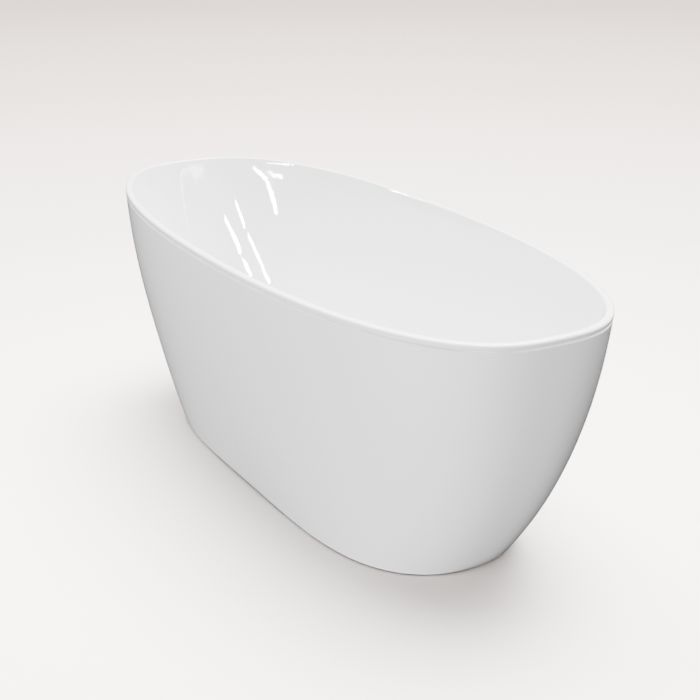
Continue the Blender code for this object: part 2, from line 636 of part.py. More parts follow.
def make_waste():
    """Flange, gaskets, nut, body with a side inlet, tailpiece and its slip nut."""
    washer("waste_gasket_top", DRAIN_HOLE_RADIUS, FLANGE_RADIUS - 0.002, SEAT_Z + GAP,
           SEAT_Z + GAP + GASKET_TOP, RUBBER)
    flange = turned("waste_flange", [
        (BORE_RADIUS + 0.003, FLANGE_TOP), (FLANGE_RADIUS - 0.002, FLANGE_TOP),
        (FLANGE_RADIUS, FLANGE_UNDER + 0.001), (FLANGE_RADIUS, FLANGE_UNDER),
        (TUBE_RADIUS, FLANGE_UNDER), (TUBE_RADIUS, TUBE_END), (BORE_RADIUS, TUBE_END),
        (BORE_RADIUS, FLANGE_TOP - 0.002)], CHROME)
    hub_bottom = HUB_TOP - HUB_HEIGHT
    hub_radius = CARTRIDGE_RADIUS + HUB_WALL
    hub_bore = rod("hub_bore_cutter", CARTRIDGE_RADIUS + GAP, hub_bottom - 0.01, HUB_TOP + 0.01)
    reach = BORE_RADIUS + TUBE_WALL / 2
    low, high = hub_bottom + ARM_INSET, HUB_TOP - ARM_INSET
    combine(flange, "UNION",
            rod("hub_joiner", hub_radius, hub_bottom, HUB_TOP),
            block("arm_joiner_x", (-reach, -ARM_HALF_WIDTH, low), (reach, ARM_HALF_WIDTH, high)),
            block("arm_joiner_y", (-ARM_HALF_WIDTH, -reach, low + GAP),
                  (ARM_HALF_WIDTH, reach, high - GAP)))
    combine(flange, "DIFFERENCE", hub_bore)

    washer("waste_gasket_under", DRAIN_HOLE_RADIUS, TUBE_RADIUS + WASTE_NUT_WALL + 0.001,
           GASKET_UNDER_TOP - GASKET_UNDER, GASKET_UNDER_TOP, RUBBER)
    nut_bottom = WASTE_NUT_TOP - WASTE_NUT_HEIGHT
    nut_across = 2 * (TUBE_RADIUS + WASTE_NUT_WALL) * math.cos(math.pi / 6)
    bore = TUBE_RADIUS + GAP
    loft("waste_nut", [hexagon(nut_across, WASTE_NUT_TOP), hexagon(nut_across, nut_bottom),
                       bore_ring(bore, nut_bottom), bore_ring(bore, WASTE_NUT_TOP)],
         BRASS, ends="closed")

    tail_bore = TAIL_RADIUS - TAIL_WALL
    socket = TAIL_RADIUS + GAP
    step = TUBE_END - 0.003
    body = turned("waste_body", [
        (BODY_RADIUS, BODY_TOP), (BODY_RADIUS, BODY_SHOULDER), (NECK_RADIUS, BODY_SHOULDER),
        (NECK_RADIUS, NECK_END), (socket, NECK_END), (socket, BODY_SHOULDER - SOCKET_STEP),
        (tail_bore, BODY_SHOULDER - SOCKET_STEP), (tail_bore, BODY_SHOULDER + SOCKET_STEP),
        (BORE_RADIUS + 0.001, BODY_SHOULDER + SOCKET_STEP), (BORE_RADIUS + 0.001, step), (bore, step),
        (bore, BODY_TOP)], WHITE_PLASTIC)
    inlet = facing((0.0, 0.0, HOSE_Z), (0.0, -1.0, 0.0))
    spigot_end = BODY_RADIUS + SPIGOT_LENGTH
    combine(body, "UNION", rod("inlet_joiner", HOSE_RADIUS, BODY_RADIUS - BODY_WALL / 2,
                               spigot_end, frame=inlet))
    combine(body, "DIFFERENCE", rod("inlet_bore_cutter", HOSE_BORE / 2, BODY_RADIUS - 2 * BODY_WALL,
                                    spigot_end + 0.01, frame=inlet))
    washer("waste_hose_nut", HOSE_RADIUS + GAP, HOSE_RADIUS + GAP + HOSE_NUT_WALL,
           spigot_end - HOSE_NUT_LENGTH / 2, spigot_end + HOSE_NUT_LENGTH / 2, WHITE_PLASTIC, inlet)

    washer("tailpiece", tail_bore, TAIL_RADIUS, TAIL_CLEAR_OF_FLOOR, BODY_SHOULDER - SOCKET_STEP - GAP,
           WHITE_PLASTIC)
    slip_top = BODY_SHOULDER - 2 * GAP
    slip_bottom = slip_top - SLIP_NUT_HEIGHT
    slip_step = NECK_END - GAP
    outer = NECK_RADIUS + GAP + BODY_WALL
    turned("tailpiece_nut", [
        (outer, slip_top), (outer, slip_bottom), (socket, slip_bottom), (socket, slip_step),
        (NECK_RADIUS + GAP, slip_step), (NECK_RADIUS + GAP, slip_top)], WHITE_PLASTIC)


def make_plug():
    """Cap, seal and stem, which rise together, with the cartridge and spring under them."""
    hole = STEM_RADIUS + GAP
    cap_top = CAP_UNDER + CAP_THICKNESS
    hole_top = CAP_UNDER + CAP_THICKNESS * 0.5
    turned("plug_cap", [
        (0.0, cap_top), (CAP_RADIUS - 0.010, cap_top - 0.0003),
        (CAP_RADIUS - 0.002, cap_top - 0.0014),
        (CAP_RADIUS, cap_top - 0.0026), (CAP_RADIUS, CAP_UNDER + 0.0008),
        (CAP_RADIUS - 0.0008, CAP_UNDER), (hole, CAP_UNDER), (hole, hole_top), (0.0, hole_top)],
        CHROME, closed=False)
    seal_outer = CAP_RADIUS - 0.002
    washer("plug_seal", seal_outer - SEAL_WIDTH, seal_outer, SEAL_UNDER, CAP_UNDER - GAP, RUBBER)
    stem_bottom = CARTRIDGE_TOP - CARTRIDGE_LENGTH
    rod("plug_stem", STEM_RADIUS, stem_bottom, hole_top - GAP, BRASS)
    turned("plug_cartridge", [
        (CARTRIDGE_RADIUS + CARTRIDGE_FLANGE, CARTRIDGE_TOP),
        (CARTRIDGE_RADIUS + CARTRIDGE_FLANGE, HUB_TOP + GAP),
        (CARTRIDGE_RADIUS, HUB_TOP + GAP), (CARTRIDGE_RADIUS, stem_bottom + 0.001),
        (hole, stem_bottom + 0.001), (hole, CARTRIDGE_TOP)], BRASS)
    low = CARTRIDGE_TOP + GAP + SPRING_WIRE
    high = CAP_UNDER - GAP - SPRING_WIRE
    turns = np.linspace(0, SPRING_TURNS, SPRING_TURNS * 8 + 1)
    coil = [(SPRING_RADIUS * math.cos(2 * math.pi * t), SPRING_RADIUS * math.sin(2 * math.pi * t),
             low + (high - low) * t / SPRING_TURNS) for t in turns]
    tube("plug_spring", coil, SPRING_WIRE, ZINC)


# ---------------------------------------------------------------- overflow and hose

def make_overflow():
    """Cover, threaded ring and gaskets on the wall, the slim body behind it and the hose."""
    hole = OVERFLOW_HOLE_RADIUS
    tube_outer = hole - 0.0015
    tube_inner = tube_outer - 0.002
    ring_outer = hole + OVERFLOW_FLANGE
    face = GAP + 0.0015 + GAP                       # front of the gasket
    behind = -SHELL_BUILD - GAP                     # back of the laminate
    body_front = behind - 0.002 - GAP
    nut_bore = HOSE_RADIUS + GAP
    hose_depth = SHELL_BUILD + HOSE_BEHIND_WALL + nut_bore + HOSE_NUT_WALL
    body_back = -hose_depth - SPIGOT_RADIUS - 0.0008
    washer("overflow_gasket_front", hole, ring_outer - 0.001, GAP, face - GAP, RUBBER, OVERFLOW)
    turned("overflow_ring", [
        (ring_outer, face + 0.003), (ring_outer, face), (tube_outer, face),
        (tube_outer, body_front - 0.006), (tube_inner, body_front - 0.006),
        (tube_inner, face + 0.003)], CHROME, OVERFLOW)
    cover_inner = ring_outer + GAP
    ceiling = OVERFLOW_COVER_HEIGHT - 0.0045
    cover_outer = cover_inner + 0.004
    cover = turned("overflow_cover", [
        (0.0, OVERFLOW_COVER_HEIGHT), (cover_outer - 0.004, OVERFLOW_COVER_HEIGHT - 0.0003),
        (cover_outer - 0.001, OVERFLOW_COVER_HEIGHT - 0.0015),
        (cover_outer, OVERFLOW_COVER_HEIGHT - 0.0035), (cover_outer, face), (cover_inner, face),
        (cover_inner, ceiling), (0.0, ceiling)], CHROME, OVERFLOW, closed=False)
    slot = block("overflow_slot_cutter",
                 (-OVERFLOW_SLOT_HALF_WIDTH, ring_outer - OVERFLOW_FLANGE, face + 0.003 + GAP),
                 (OVERFLOW_SLOT_HALF_WIDTH, cover_outer + 0.01, ceiling - 0.0005), frame=OVERFLOW)
    combine(cover, "DIFFERENCE", slot)
    washer("overflow_gasket_back", hole, hole + 0.007, body_front + GAP, behind, RUBBER, OVERFLOW)

    half = OVERFLOW_BODY_WIDTH / 2
    body = block("overflow_body", (-half, -OVERFLOW_BODY_TOP, body_back),
                 (half, OVERFLOW_BODY_BOTTOM, body_front), WHITE_PLASTIC, OVERFLOW)
    modifier(body, "BEVEL", width=0.003, segments=2, limit_method="ANGLE")
    down = OVERFLOW @ facing((0.0, 0.0, -hose_depth), (0.0, 1.0, 0.0))
    spigot_end = OVERFLOW_BODY_BOTTOM + SPIGOT_LENGTH
    chamber = rod("overflow_chamber_cutter", tube_outer + GAP, body_back + 0.002,
                  body_front + 0.01, frame=OVERFLOW)
    outlet = rod("overflow_outlet_cutter", SPIGOT_RADIUS - SPIGOT_WALL, 0.0, spigot_end + 0.01,
                 frame=down)
    joiner = rod("overflow_spigot_joiner", SPIGOT_RADIUS, OVERFLOW_BODY_BOTTOM - 0.004,
                 spigot_end, frame=down)
    combine(body, "UNION", joiner)
    combine(body, "DIFFERENCE", chamber, outlet)
    nut_low = spigot_end - HOSE_NUT_LENGTH / 2
    nut_high = spigot_end + HOSE_NUT_LENGTH / 2
    turned("overflow_hose_nut", [
        (nut_bore + HOSE_NUT_WALL, nut_high), (nut_bore + HOSE_NUT_WALL, nut_low),
        (SPIGOT_RADIUS + GAP, nut_low), (SPIGOT_RADIUS + GAP, spigot_end),
        (nut_bore, spigot_end), (nut_bore, nut_high)], WHITE_PLASTIC, down)

    start = down @ Vector((0.0, 0.0, spigot_end + 2 * GAP))
    leave = down @ Vector((0.0, 0.0, nut_high + 0.010))
    route = [start, down @ Vector((0.0, 0.0, nut_high + 0.001)), leave]
    lowest = FLOOR_HEIGHT + FILLET_HEIGHT / 2
    for share in (0.70, 0.35, 0.0):
        z = lowest + (leave.z - lowest) * share
        y = -(side_y(skirt_ring(z)) + side_y(wall_ring(z))) / 2
        route.append((0.0, y, z))
    inlet_end = BODY_RADIUS + SPIGOT_LENGTH + 2 * GAP
    straight = inlet_end + HOSE_NUT_LENGTH
    corner_y = route[-1][1]
    route.append((0.0, corner_y + 0.012, (lowest + HOSE_Z) / 2 + 0.012))
    route.append((0.0, (corner_y - straight) / 2 - 0.020, HOSE_Z + 0.004))
    route.append((0.0, -straight, HOSE_Z))
    route.append((0.0, -inlet_end, HOSE_Z))
    tube("overflow_hose", through(route, HOSE_POINT_SPACING), HOSE_RADIUS, GREY_HOSE)


make_shells()
make_board()
make_frame()
for end_name, foot_x in (("left", -FOOT_X), ("right", FOOT_X)):
    for side_name, foot_y in (("front", -RAIL_Y), ("back", RAIL_Y)):
        make_foot(f"{side_name}_{end_name}", foot_x, foot_y)
make_waste()
make_plug()
make_overflow()
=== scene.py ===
# %% [markdown]
# # A freestanding bathtub, finished from its frame of measured parts
#
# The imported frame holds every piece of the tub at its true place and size: shells, rails, feet,
# waste and overflow. This lesson keeps those places and gives each piece the surface and the
# finish that a maker would. Smooth pieces are worked out from the same few sizes as formulas on
# a grid, because a formula has no facets and its silhouette stays clean at any distance.

# %% Load the frame
import json
import math

import bpy
import numpy as np
from mathutils import Matrix, Vector

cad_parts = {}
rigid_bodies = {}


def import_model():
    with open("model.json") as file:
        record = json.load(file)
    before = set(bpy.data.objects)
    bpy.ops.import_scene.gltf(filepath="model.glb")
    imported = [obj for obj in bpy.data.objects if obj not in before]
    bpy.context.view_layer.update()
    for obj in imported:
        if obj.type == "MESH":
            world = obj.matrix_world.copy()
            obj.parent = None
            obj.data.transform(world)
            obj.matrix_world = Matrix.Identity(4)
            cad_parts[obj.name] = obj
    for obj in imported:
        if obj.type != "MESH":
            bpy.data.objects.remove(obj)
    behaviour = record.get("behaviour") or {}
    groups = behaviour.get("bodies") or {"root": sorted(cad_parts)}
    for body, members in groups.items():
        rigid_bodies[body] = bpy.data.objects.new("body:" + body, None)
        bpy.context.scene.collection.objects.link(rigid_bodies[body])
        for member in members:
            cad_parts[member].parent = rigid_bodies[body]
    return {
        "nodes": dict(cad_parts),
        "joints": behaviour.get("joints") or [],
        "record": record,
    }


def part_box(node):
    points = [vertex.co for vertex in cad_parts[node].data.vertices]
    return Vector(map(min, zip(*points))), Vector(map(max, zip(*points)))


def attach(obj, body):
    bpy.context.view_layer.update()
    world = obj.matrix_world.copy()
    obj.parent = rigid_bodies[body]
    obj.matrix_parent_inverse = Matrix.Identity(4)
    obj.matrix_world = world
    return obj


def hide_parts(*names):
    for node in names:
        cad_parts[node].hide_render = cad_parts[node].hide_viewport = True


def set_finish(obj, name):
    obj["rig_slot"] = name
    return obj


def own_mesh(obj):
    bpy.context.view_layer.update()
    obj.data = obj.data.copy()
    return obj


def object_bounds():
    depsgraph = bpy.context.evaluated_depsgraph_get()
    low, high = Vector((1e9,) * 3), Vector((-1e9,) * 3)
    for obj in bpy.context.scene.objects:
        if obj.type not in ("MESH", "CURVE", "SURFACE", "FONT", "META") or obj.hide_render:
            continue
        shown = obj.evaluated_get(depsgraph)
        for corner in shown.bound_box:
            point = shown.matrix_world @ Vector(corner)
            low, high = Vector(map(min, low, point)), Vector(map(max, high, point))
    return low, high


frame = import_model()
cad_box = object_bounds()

# %% [markdown]
# ## The sizes that the surfaces share
#
# Overall sizes are read from the frame. The rest are the tub's own design values in metres:
# how far the skirt draws in towards the floor, how wide the rim is, and how the basin's floor
# turns up into its wall. Reading them from one place keeps basin, skirt and rim in step.

# %% Sizes
LENGTH, WIDTH, HEIGHT = (cad_box[1][k] - cad_box[0][k] for k in range(3))
SKIRT_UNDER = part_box("skirt_shell")[0][2]
MOUNTS = {mount["name"]: mount["pos_m"] for mount in frame["record"]["mounts"]}
FLOOR_HEIGHT = MOUNTS["basin_floor"][2]

RIM_WIDTH = 0.018
RIM_OUTER_RADIUS = 0.006
RIM_INNER_RADIUS = 0.005
LIP_DEPTH = 0.012
ACRYLIC = 0.004
LAMINATE = 0.003
HAIR = 0.0003           # the gap left between pieces that touch
SHARP = math.radians(50)
SKIRT_EDGE_RADIUS = 0.0018

SKIRT_TOP = HEIGHT - RIM_OUTER_RADIUS
SKIRT_END_TAPER = 0.251
SKIRT_SIDE_TAPER = 0.1155
END_CURVE = 2.44
END_STRAIGHT = 0.354
SIDE_CURVE = 1.78
RIM_POWERS = (2.21, 2.72)
FOOT_POWERS = (4.40, 2.18)
POWER_CURVE = 4.9

FOOT_HALF_LENGTH = LENGTH / 2 - SKIRT_END_TAPER
FOOT_HALF_WIDTH = WIDTH / 2 - SKIRT_SIDE_TAPER
FLOOR_HALF_LENGTH = FOOT_HALF_LENGTH - 0.099
FLOOR_HALF_WIDTH = FOOT_HALF_WIDTH - 0.0845
FLOOR_POWERS = (3.0, 2.5)
FILLET_END = 0.120
FILLET_SIDE = 0.070
FILLET_HEIGHT = 0.112

DRAIN_HOLE_RADIUS = 0.026
DISH_SEAT_RADIUS = 0.037
DISH_RADIUS = 0.055
DISH_DEPTH = 0.003

print(f"tub {LENGTH:.3f} x {WIDTH:.3f} x {HEIGHT:.3f} m, floor at {FLOOR_HEIGHT:.3f} m")

# %% [markdown]
# ## Grids of points into meshes
#
# A surface here is a grid: rows run down a profile and columns run round the tub. A closed
# shell is a grid whose last row joins its first. All the points are one numpy array, and the
# faces come from index arithmetic on whole rows, so nothing loops over single vertices.

# %% Grid helpers
COLUMNS = 288


def mesh_from(name, points, faces):
    """A smooth-shaded mesh object from arrays of points and of corner indices."""
    mesh = bpy.data.meshes.new(name)
    mesh.from_pydata(points.reshape(-1, 3).tolist(), [], faces.tolist())
    mesh.validate()
    mesh.shade_smooth()
    made = bpy.data.objects.new(name, mesh)
    bpy.context.scene.collection.objects.link(made)
    return made


def grid_faces(rows, columns, close_rows=False):
    """Quads between neighbouring rows; columns always close, rows close when asked."""
    row = np.arange(rows if close_rows else rows - 1)[:, None]
    column = np.arange(columns)[None, :]
    below = (row + 1) % rows
    after = (column + 1) % columns
    corners = [row * columns + column, below * columns + column,
               below * columns + after, row * columns + after]
    return np.stack(np.broadcast_arrays(*corners), axis=-1).reshape(-1, 4)


def grid_normals(points):
    """Unit normals of a grid: slope down the rows crossed with slope round the columns."""
    down = np.gradient(points, axis=0)
    round_it = np.roll(points, -1, axis=1) - np.roll(points, 1, axis=1)
    normal = np.cross(down, round_it)
    return normal / np.linalg.norm(normal, axis=2, keepdims=True)


def walled(name, front, thickness, keep_every=3):
    """A closed shell: the front grid, and behind it the same grid moved back by a thickness."""
    back = front - thickness * grid_normals(front)
    chosen = np.unique(np.append(np.arange(0, len(front), keep_every), len(front) - 1))
    points = np.concatenate([front, back[chosen[::-1]]])
    return mesh_from(name, points, grid_faces(len(points), points.shape[1], close_rows=True))


# %% [markdown]
# ## The oval that everything follows
#
# Rim, skirt and floor are ovals |x/a|^m + |y/b|^n = 1. With m = n = 2 that is an ellipse, and
# larger powers square it off. The tub's rim is a little fuller than an ellipse and its foot has
# straighter sides. Columns are spaced evenly along the rim, so no facet is longer than another.

# %% Oval
def even_angles(count):
    """Parameter angles whose points are evenly spaced along the rim's oval."""
    angle = np.linspace(0, 2 * math.pi, 20001)
    x, y = oval(LENGTH / 2, WIDTH / 2, *RIM_POWERS, angle)
    along = np.append(0, np.cumsum(np.hypot(np.diff(x), np.diff(y))))
    return np.interp((np.arange(count) + 0.5) / count * along[-1], along, angle)


def oval(half_x, half_y, power_x, power_y, angle):
    """x = a cos^(2/m), y = b sin^(2/n), each keeping its own sign."""
    c, s = np.cos(angle), np.sin(angle)
    x = half_x * np.sign(c) * np.abs(c) ** (2 / power_x)
    y = half_y * np.sign(s) * np.abs(s) ** (2 / power_y)
    return x, y


def skirt_points(z, angle):
    """The outer wall at heights z: half sizes swell from the foot, powers turn into the rim's."""
    up = np.clip(z / SKIRT_TOP, 0, 1)
    swell_x = (1 - END_STRAIGHT) * (1 - (1 - up) ** END_CURVE) + END_STRAIGHT * up
    swell_y = 1 - (1 - up) ** SIDE_CURVE
    turn = 1 - (1 - up) ** POWER_CURVE
    powers = [low + (high - low) * turn for low, high in zip(FOOT_POWERS, RIM_POWERS)]
    x, y = oval(FOOT_HALF_LENGTH + SKIRT_END_TAPER * swell_x,
                FOOT_HALF_WIDTH + SKIRT_SIDE_TAPER * swell_y, *powers, angle)
    return np.stack(np.broadcast_arrays(x, y, z), axis=-1)


def level_normals(ring):
    """Outward normals of a level ring, along the perpendicular to its two neighbours."""
    along = np.roll(ring, -1, axis=-2) - np.roll(ring, 1, axis=-2)
    normal = np.stack([along[..., 1], -along[..., 0], np.zeros(along.shape[:-1])], axis=-1)
    return normal / np.linalg.norm(normal, axis=-1, keepdims=True)


ANGLES = even_angles(COLUMNS)[None, :]
print("columns round the tub:", COLUMNS)

# %% [markdown]
# ## The skirt
#
# The outer wall is one vacuum-formed acrylic sheet. It stands a few millimetres off the floor
# and its trimmed lower edge is sanded round. The grid runs from the seam under the rim down to
# that edge, and a quarter round in the normal's plane softens the corner.

# %% Skirt surface
def lean_of(z, step=0.0005):
    """How much the outer wall moves out per metre of height, at one height, in each column."""
    wall = skirt_points(np.array([[z - step], [z]]), ANGLES)
    out = level_normals(wall[1])
    return ((wall[1] - wall[0]) * out).sum(axis=-1, keepdims=True) / step


def skirt_front(rows):
    """Outer face of the skirt, top to bottom, then the round on its lower edge."""
    top = HEIGHT - LIP_DEPTH - 0.00005
    bottom = SKIRT_UNDER + SKIRT_EDGE_RADIUS
    share = np.linspace(0, 1, rows)[:, None]
    face = skirt_points(top + (bottom - top) * share, ANGLES)
    out = level_normals(face[-1])
    turn = np.linspace(0, math.pi / 2, 7)[1:, None, None]
    edge = face[-1] - SKIRT_EDGE_RADIUS * (1 - np.cos(turn)) * out
    edge = edge - SKIRT_EDGE_RADIUS * np.sin(turn) * np.array([0, 0, 1.0])
    return face, edge


skirt_face, skirt_edge = skirt_front(84)
inner = skirt_face - ACRYLIC * grid_normals(skirt_face)
inner[-1, :, 2] = SKIRT_UNDER
skirt_rows = np.concatenate([skirt_face, skirt_edge, inner[::-4]])
skirt = mesh_from("skirt", skirt_rows, grid_faces(len(skirt_rows), COLUMNS, close_rows=True))
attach(skirt, "tub")
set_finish(skirt, "acrylic")
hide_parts("skirt_shell")
print("skirt faces:", len(skirt.data.polygons))

# %% [markdown]
# ## The basin
#
# The basin is the second sheet: a flat floor with a shallow dish for the waste, a fillet that
# turns up into a wall, the thin rim and a lip that comes down over the skirt. Each stretch is a
# few rows of the same grid, so the whole basin is one skin with no seams to hide. The two rim
# edges are arcs that start tangent to whatever wall they leave, however far it leans.

# %% Basin surface
def circle(radius, z, angle=ANGLES):
    return np.stack(np.broadcast_arrays(radius * np.cos(angle), radius * np.sin(angle), z), axis=-1)


def floor_oval(grow_x=0.0, grow_y=0.0):
    x, y = oval(FLOOR_HALF_LENGTH + grow_x, FLOOR_HALF_WIDTH + grow_y, *FLOOR_POWERS, ANGLES)
    return np.stack(np.broadcast_arrays(x, y, FLOOR_HEIGHT), axis=-1)


RIM_RING = skirt_points(np.array([[SKIRT_TOP]]), ANGLES)
RIM_OUT = level_normals(RIM_RING)
WALL_TOP = HEIGHT - RIM_INNER_RADIUS
RIM_INNER_RING = RIM_RING - RIM_WIDTH * RIM_OUT


def wall_points(z):
    """Floor edge, plus an elliptic fillet, plus a straight lean from the fillet to the rim."""
    turn = np.sqrt(1 - (1 - np.clip((z - FLOOR_HEIGHT) / FILLET_HEIGHT, 0, 1)) ** 2)
    rise = (z - FLOOR_HEIGHT) / (WALL_TOP - FLOOR_HEIGHT)
    foot = floor_oval(FILLET_END, FILLET_SIDE)
    points = floor_oval() + (foot - floor_oval()) * turn[..., None]
    points = points + (RIM_INNER_RING - foot) * rise[..., None]
    points[..., 2] = z
    return points


def basin_front(fine):
    """Rows from the drain hole out over the floor, up the wall, over the rim and down the lip."""
    share = np.linspace(0, 1, fine)[:, None]
    seat = circle(DRAIN_HOLE_RADIUS + (DISH_SEAT_RADIUS - DRAIN_HOLE_RADIUS) * share[::4],
                  FLOOR_HEIGHT - DISH_DEPTH)
    dish = circle(DISH_SEAT_RADIUS + (DISH_RADIUS - DISH_SEAT_RADIUS) * share,
                  FLOOR_HEIGHT - DISH_DEPTH * (1 + np.cos(math.pi * share)) / 2)
    flat = dish[-1:] + (floor_oval() - dish[-1:]) * share[:, :, None]
    swing = np.linspace(0, math.pi / 2, 2 * fine)[:, None]
    fillet = wall_points(np.broadcast_to(FLOOR_HEIGHT + FILLET_HEIGHT * (1 - np.cos(swing)),
                                         (2 * fine, COLUMNS)))

    lean = ((RIM_INNER_RING - floor_oval(FILLET_END, FILLET_SIDE)) * RIM_OUT).sum(axis=-1)
    slope = np.arctan(lean / (WALL_TOP - FLOOR_HEIGHT))
    top = HEIGHT - RIM_INNER_RADIUS + RIM_INNER_RADIUS * np.sin(slope)
    start = FLOOR_HEIGHT + FILLET_HEIGHT
    wall = wall_points(start + (top - start) * np.linspace(0, 1, 3 * fine)[:, None])
    turn = slope + (math.pi / 2 - slope) * share
    reach = RIM_INNER_RADIUS * (1 / np.cos(slope) - np.cos(turn))
    inner_edge = RIM_INNER_RING + reach[..., None] * RIM_OUT
    inner_edge[..., 2] = HEIGHT - RIM_INNER_RADIUS * (1 - np.sin(turn))

    outer_slope = np.arctan(lean_of(SKIRT_TOP - 0.0001))[None, :, 0]
    turn = math.pi / 2 - (math.pi / 2 + outer_slope) * share
    inset = RIM_OUTER_RADIUS * (1 / np.cos(outer_slope) - np.cos(turn))
    outer_edge = RIM_RING - inset[..., None] * RIM_OUT
    outer_edge[..., 2] = HEIGHT - RIM_OUTER_RADIUS * (1 - np.sin(turn))
    deck = inner_edge[-1:] + (outer_edge[:1] - inner_edge[-1:]) * np.linspace(0, 1, 5)[:, None, None]
    low = outer_edge[-1, :, 2]
    lip = skirt_points(low + (HEIGHT - LIP_DEPTH - low) * share, ANGLES)
    stretches = [seat, dish[1:], flat[1:], fillet[1:], wall[1:], inner_edge[1:], deck[1:],
                 outer_edge[1:], lip[1:]]
    return np.concatenate(stretches)


basin_rows = basin_front(13)
basin = walled("basin", basin_rows, ACRYLIC)
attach(basin, "tub")
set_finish(basin, "acrylic")
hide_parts("basin_shell")
print("basin faces:", len(basin.data.polygons))

# %% [markdown]
# ## Glass-fibre backing and the glued rim
#
# Acrylic sheet alone would flex, so both shells are backed with resin and chopped glass strand.
# The backing is the same surface again, moved behind the sheet. Where the two shells meet under
# the rim, a bead of adhesive fills the wedge between them.

# %% Backing and bead
def behind(front, depth):
    return front - depth * grid_normals(front)


def backing(name, front, node):
    made = walled(name, behind(front, ACRYLIC + HAIR), LAMINATE)
    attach(made, "tub")
    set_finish(made, "glass_fibre")
    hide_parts(node)
    return made


high_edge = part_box("basin_laminate")[1][2]
backed = (basin_rows[:, :, 2].max(axis=1) < high_edge) & (np.arange(len(basin_rows)) > 2)
basin_laminate = backing("basin_backing", basin_rows[backed], "basin_laminate")
low_edge, high_edge = (corner[2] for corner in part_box("skirt_laminate"))
skirt_height = skirt_face[:, 0, 2]
backed = (skirt_height > low_edge) & (skirt_height < high_edge)
skirt_laminate = backing("skirt_backing", skirt_face[backed], "skirt_laminate")

bead_low, bead_high = (corner[2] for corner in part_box("rim_bond_bead"))
bead_levels = np.array([[bead_high], [bead_low]])
outer_wall = skirt_points(bead_levels, ANGLES)
inner_wall = wall_points(np.broadcast_to(bead_levels, (2, COLUMNS)))
BEAD_INSET = ACRYLIC + 3 * HAIR
bead_outer = outer_wall - BEAD_INSET * level_normals(outer_wall)
bead_inner = inner_wall + BEAD_INSET * level_normals(inner_wall)
bead_sag = (bead_outer[1] + bead_inner[1]) / 2 + (0, 0, 0.004)
bead_rows = np.stack([bead_outer[0], bead_outer[1], bead_sag, bead_inner[1], bead_inner[0]])
bead = mesh_from("rim_bead", bead_rows, grid_faces(5, COLUMNS, close_rows=True))
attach(bead, "tub")
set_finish(bead, "adhesive")
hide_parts("rim_bond_bead")
print("backing faces:", len(basin_laminate.data.polygons) + len(skirt_laminate.data.polygons))

# %% [markdown]
# ## Turned parts: profiles carried round an axis
#
# Waste, plug, overflow and feet are turned or moulded round an axis. Each is a closed profile of
# (radius, height) points. Every corner of a profile is eased with a small curve, because a real
# edge always catches a line of light. A hexagon is the same turned shape with its outside cut
# back to six flats, which gives a nut its curved chamfer, and a thread is a radius that rises
# and falls as the height and the angle together pass one pitch.

# %% Turned shapes
ROUND = 72


def softened(corners, radius=0.0005, steps=4):
    """Each corner P becomes the curve (1-t)^2 A + 2t(1-t) P + t^2 B, from A before to B after."""
    corner = np.asarray(corners, float)
    before = np.roll(corner, 1, axis=0) - corner
    after = np.roll(corner, -1, axis=0) - corner
    size_before = np.linalg.norm(before, axis=1, keepdims=True)
    size_after = np.linalg.norm(after, axis=1, keepdims=True)
    reach = np.minimum(radius, 0.45 * np.minimum(size_before, size_after))
    start = (corner + before / size_before * reach)[:, None]
    end = (corner + after / size_after * reach)[:, None]
    t = np.linspace(0, 1, steps)[None, :, None]
    curve = (1 - t) ** 2 * start + 2 * t * (1 - t) * corner[:, None] + t ** 2 * end
    return curve.reshape(-1, 2)


def divided(profile, step):
    """The same closed profile with extra points, so that none lie further apart than a step."""
    loop = np.vstack([profile, profile[:1]])
    along = np.append(0, np.cumsum(np.linalg.norm(np.diff(loop, axis=0), axis=1)))
    marks = np.union1d(along[:-1], np.arange(0, along[-1], step))
    marks = marks[np.append(True, np.diff(marks) > 2e-5) & (marks < along[-1] - 2e-5)]
    return np.column_stack([np.interp(marks, along, loop[:, k]) for k in range(2)])


def spun(profile, place=None, columns=None, across=None, thread=None, capped=False):
    """Points and faces of a profile turned about Z: x = r cos a, y = r sin a.

    across: r is at most half of it over cos(a from the nearest flat's middle).
    thread: (radius, pitch, depth); at that radius r dips by depth times a triangle wave of
    height / pitch - a / full turn.
    """
    angle = np.linspace(0, 2 * math.pi, columns or ROUND, endpoint=False)[None, :]
    radius = np.repeat(profile[:, :1], angle.shape[1], axis=1)
    height = np.broadcast_to(profile[:, 1:], radius.shape)
    if across:
        radius = np.minimum(radius, across / 2 / np.cos(angle % (math.pi / 3) - math.pi / 6))
    if thread:
        at_radius, pitch, depth = thread
        wave = np.abs((height / pitch - angle / (2 * math.pi)) % 1 * 2 - 1)
        level = np.abs(profile[:, :1] - at_radius) < 2e-5
        level = level & (np.roll(level, 1) | np.roll(level, -1))
        radius = np.where(level, radius - depth * wave, radius)
    points = np.stack([radius * np.cos(angle), radius * np.sin(angle), height], axis=-1)
    rows, count = radius.shape
    faces = grid_faces(rows, count, close_rows=not capped).tolist()
    if capped:
        faces.append(list(range(count)))
        faces.append(list(range(rows * count - 1, (rows - 1) * count - 1, -1)))
    return moved(points, place), faces


def tube_faces(rows, sides):
    """Faces of rings along a path, closed at both ends, facing outwards."""
    ends = [list(range(sides)), list(range(rows * sides - 1, (rows - 1) * sides - 1, -1))]
    return [face[::-1] for face in grid_faces(rows, sides).tolist() + ends]


def moved(points, place):
    """Points in a frame's own axes, brought into the tub's axes."""
    flat = points.reshape(-1, 3)
    if place is None:
        return flat
    turn = np.array(place.to_3x3())
    return flat @ turn.T + np.array(place.translation)


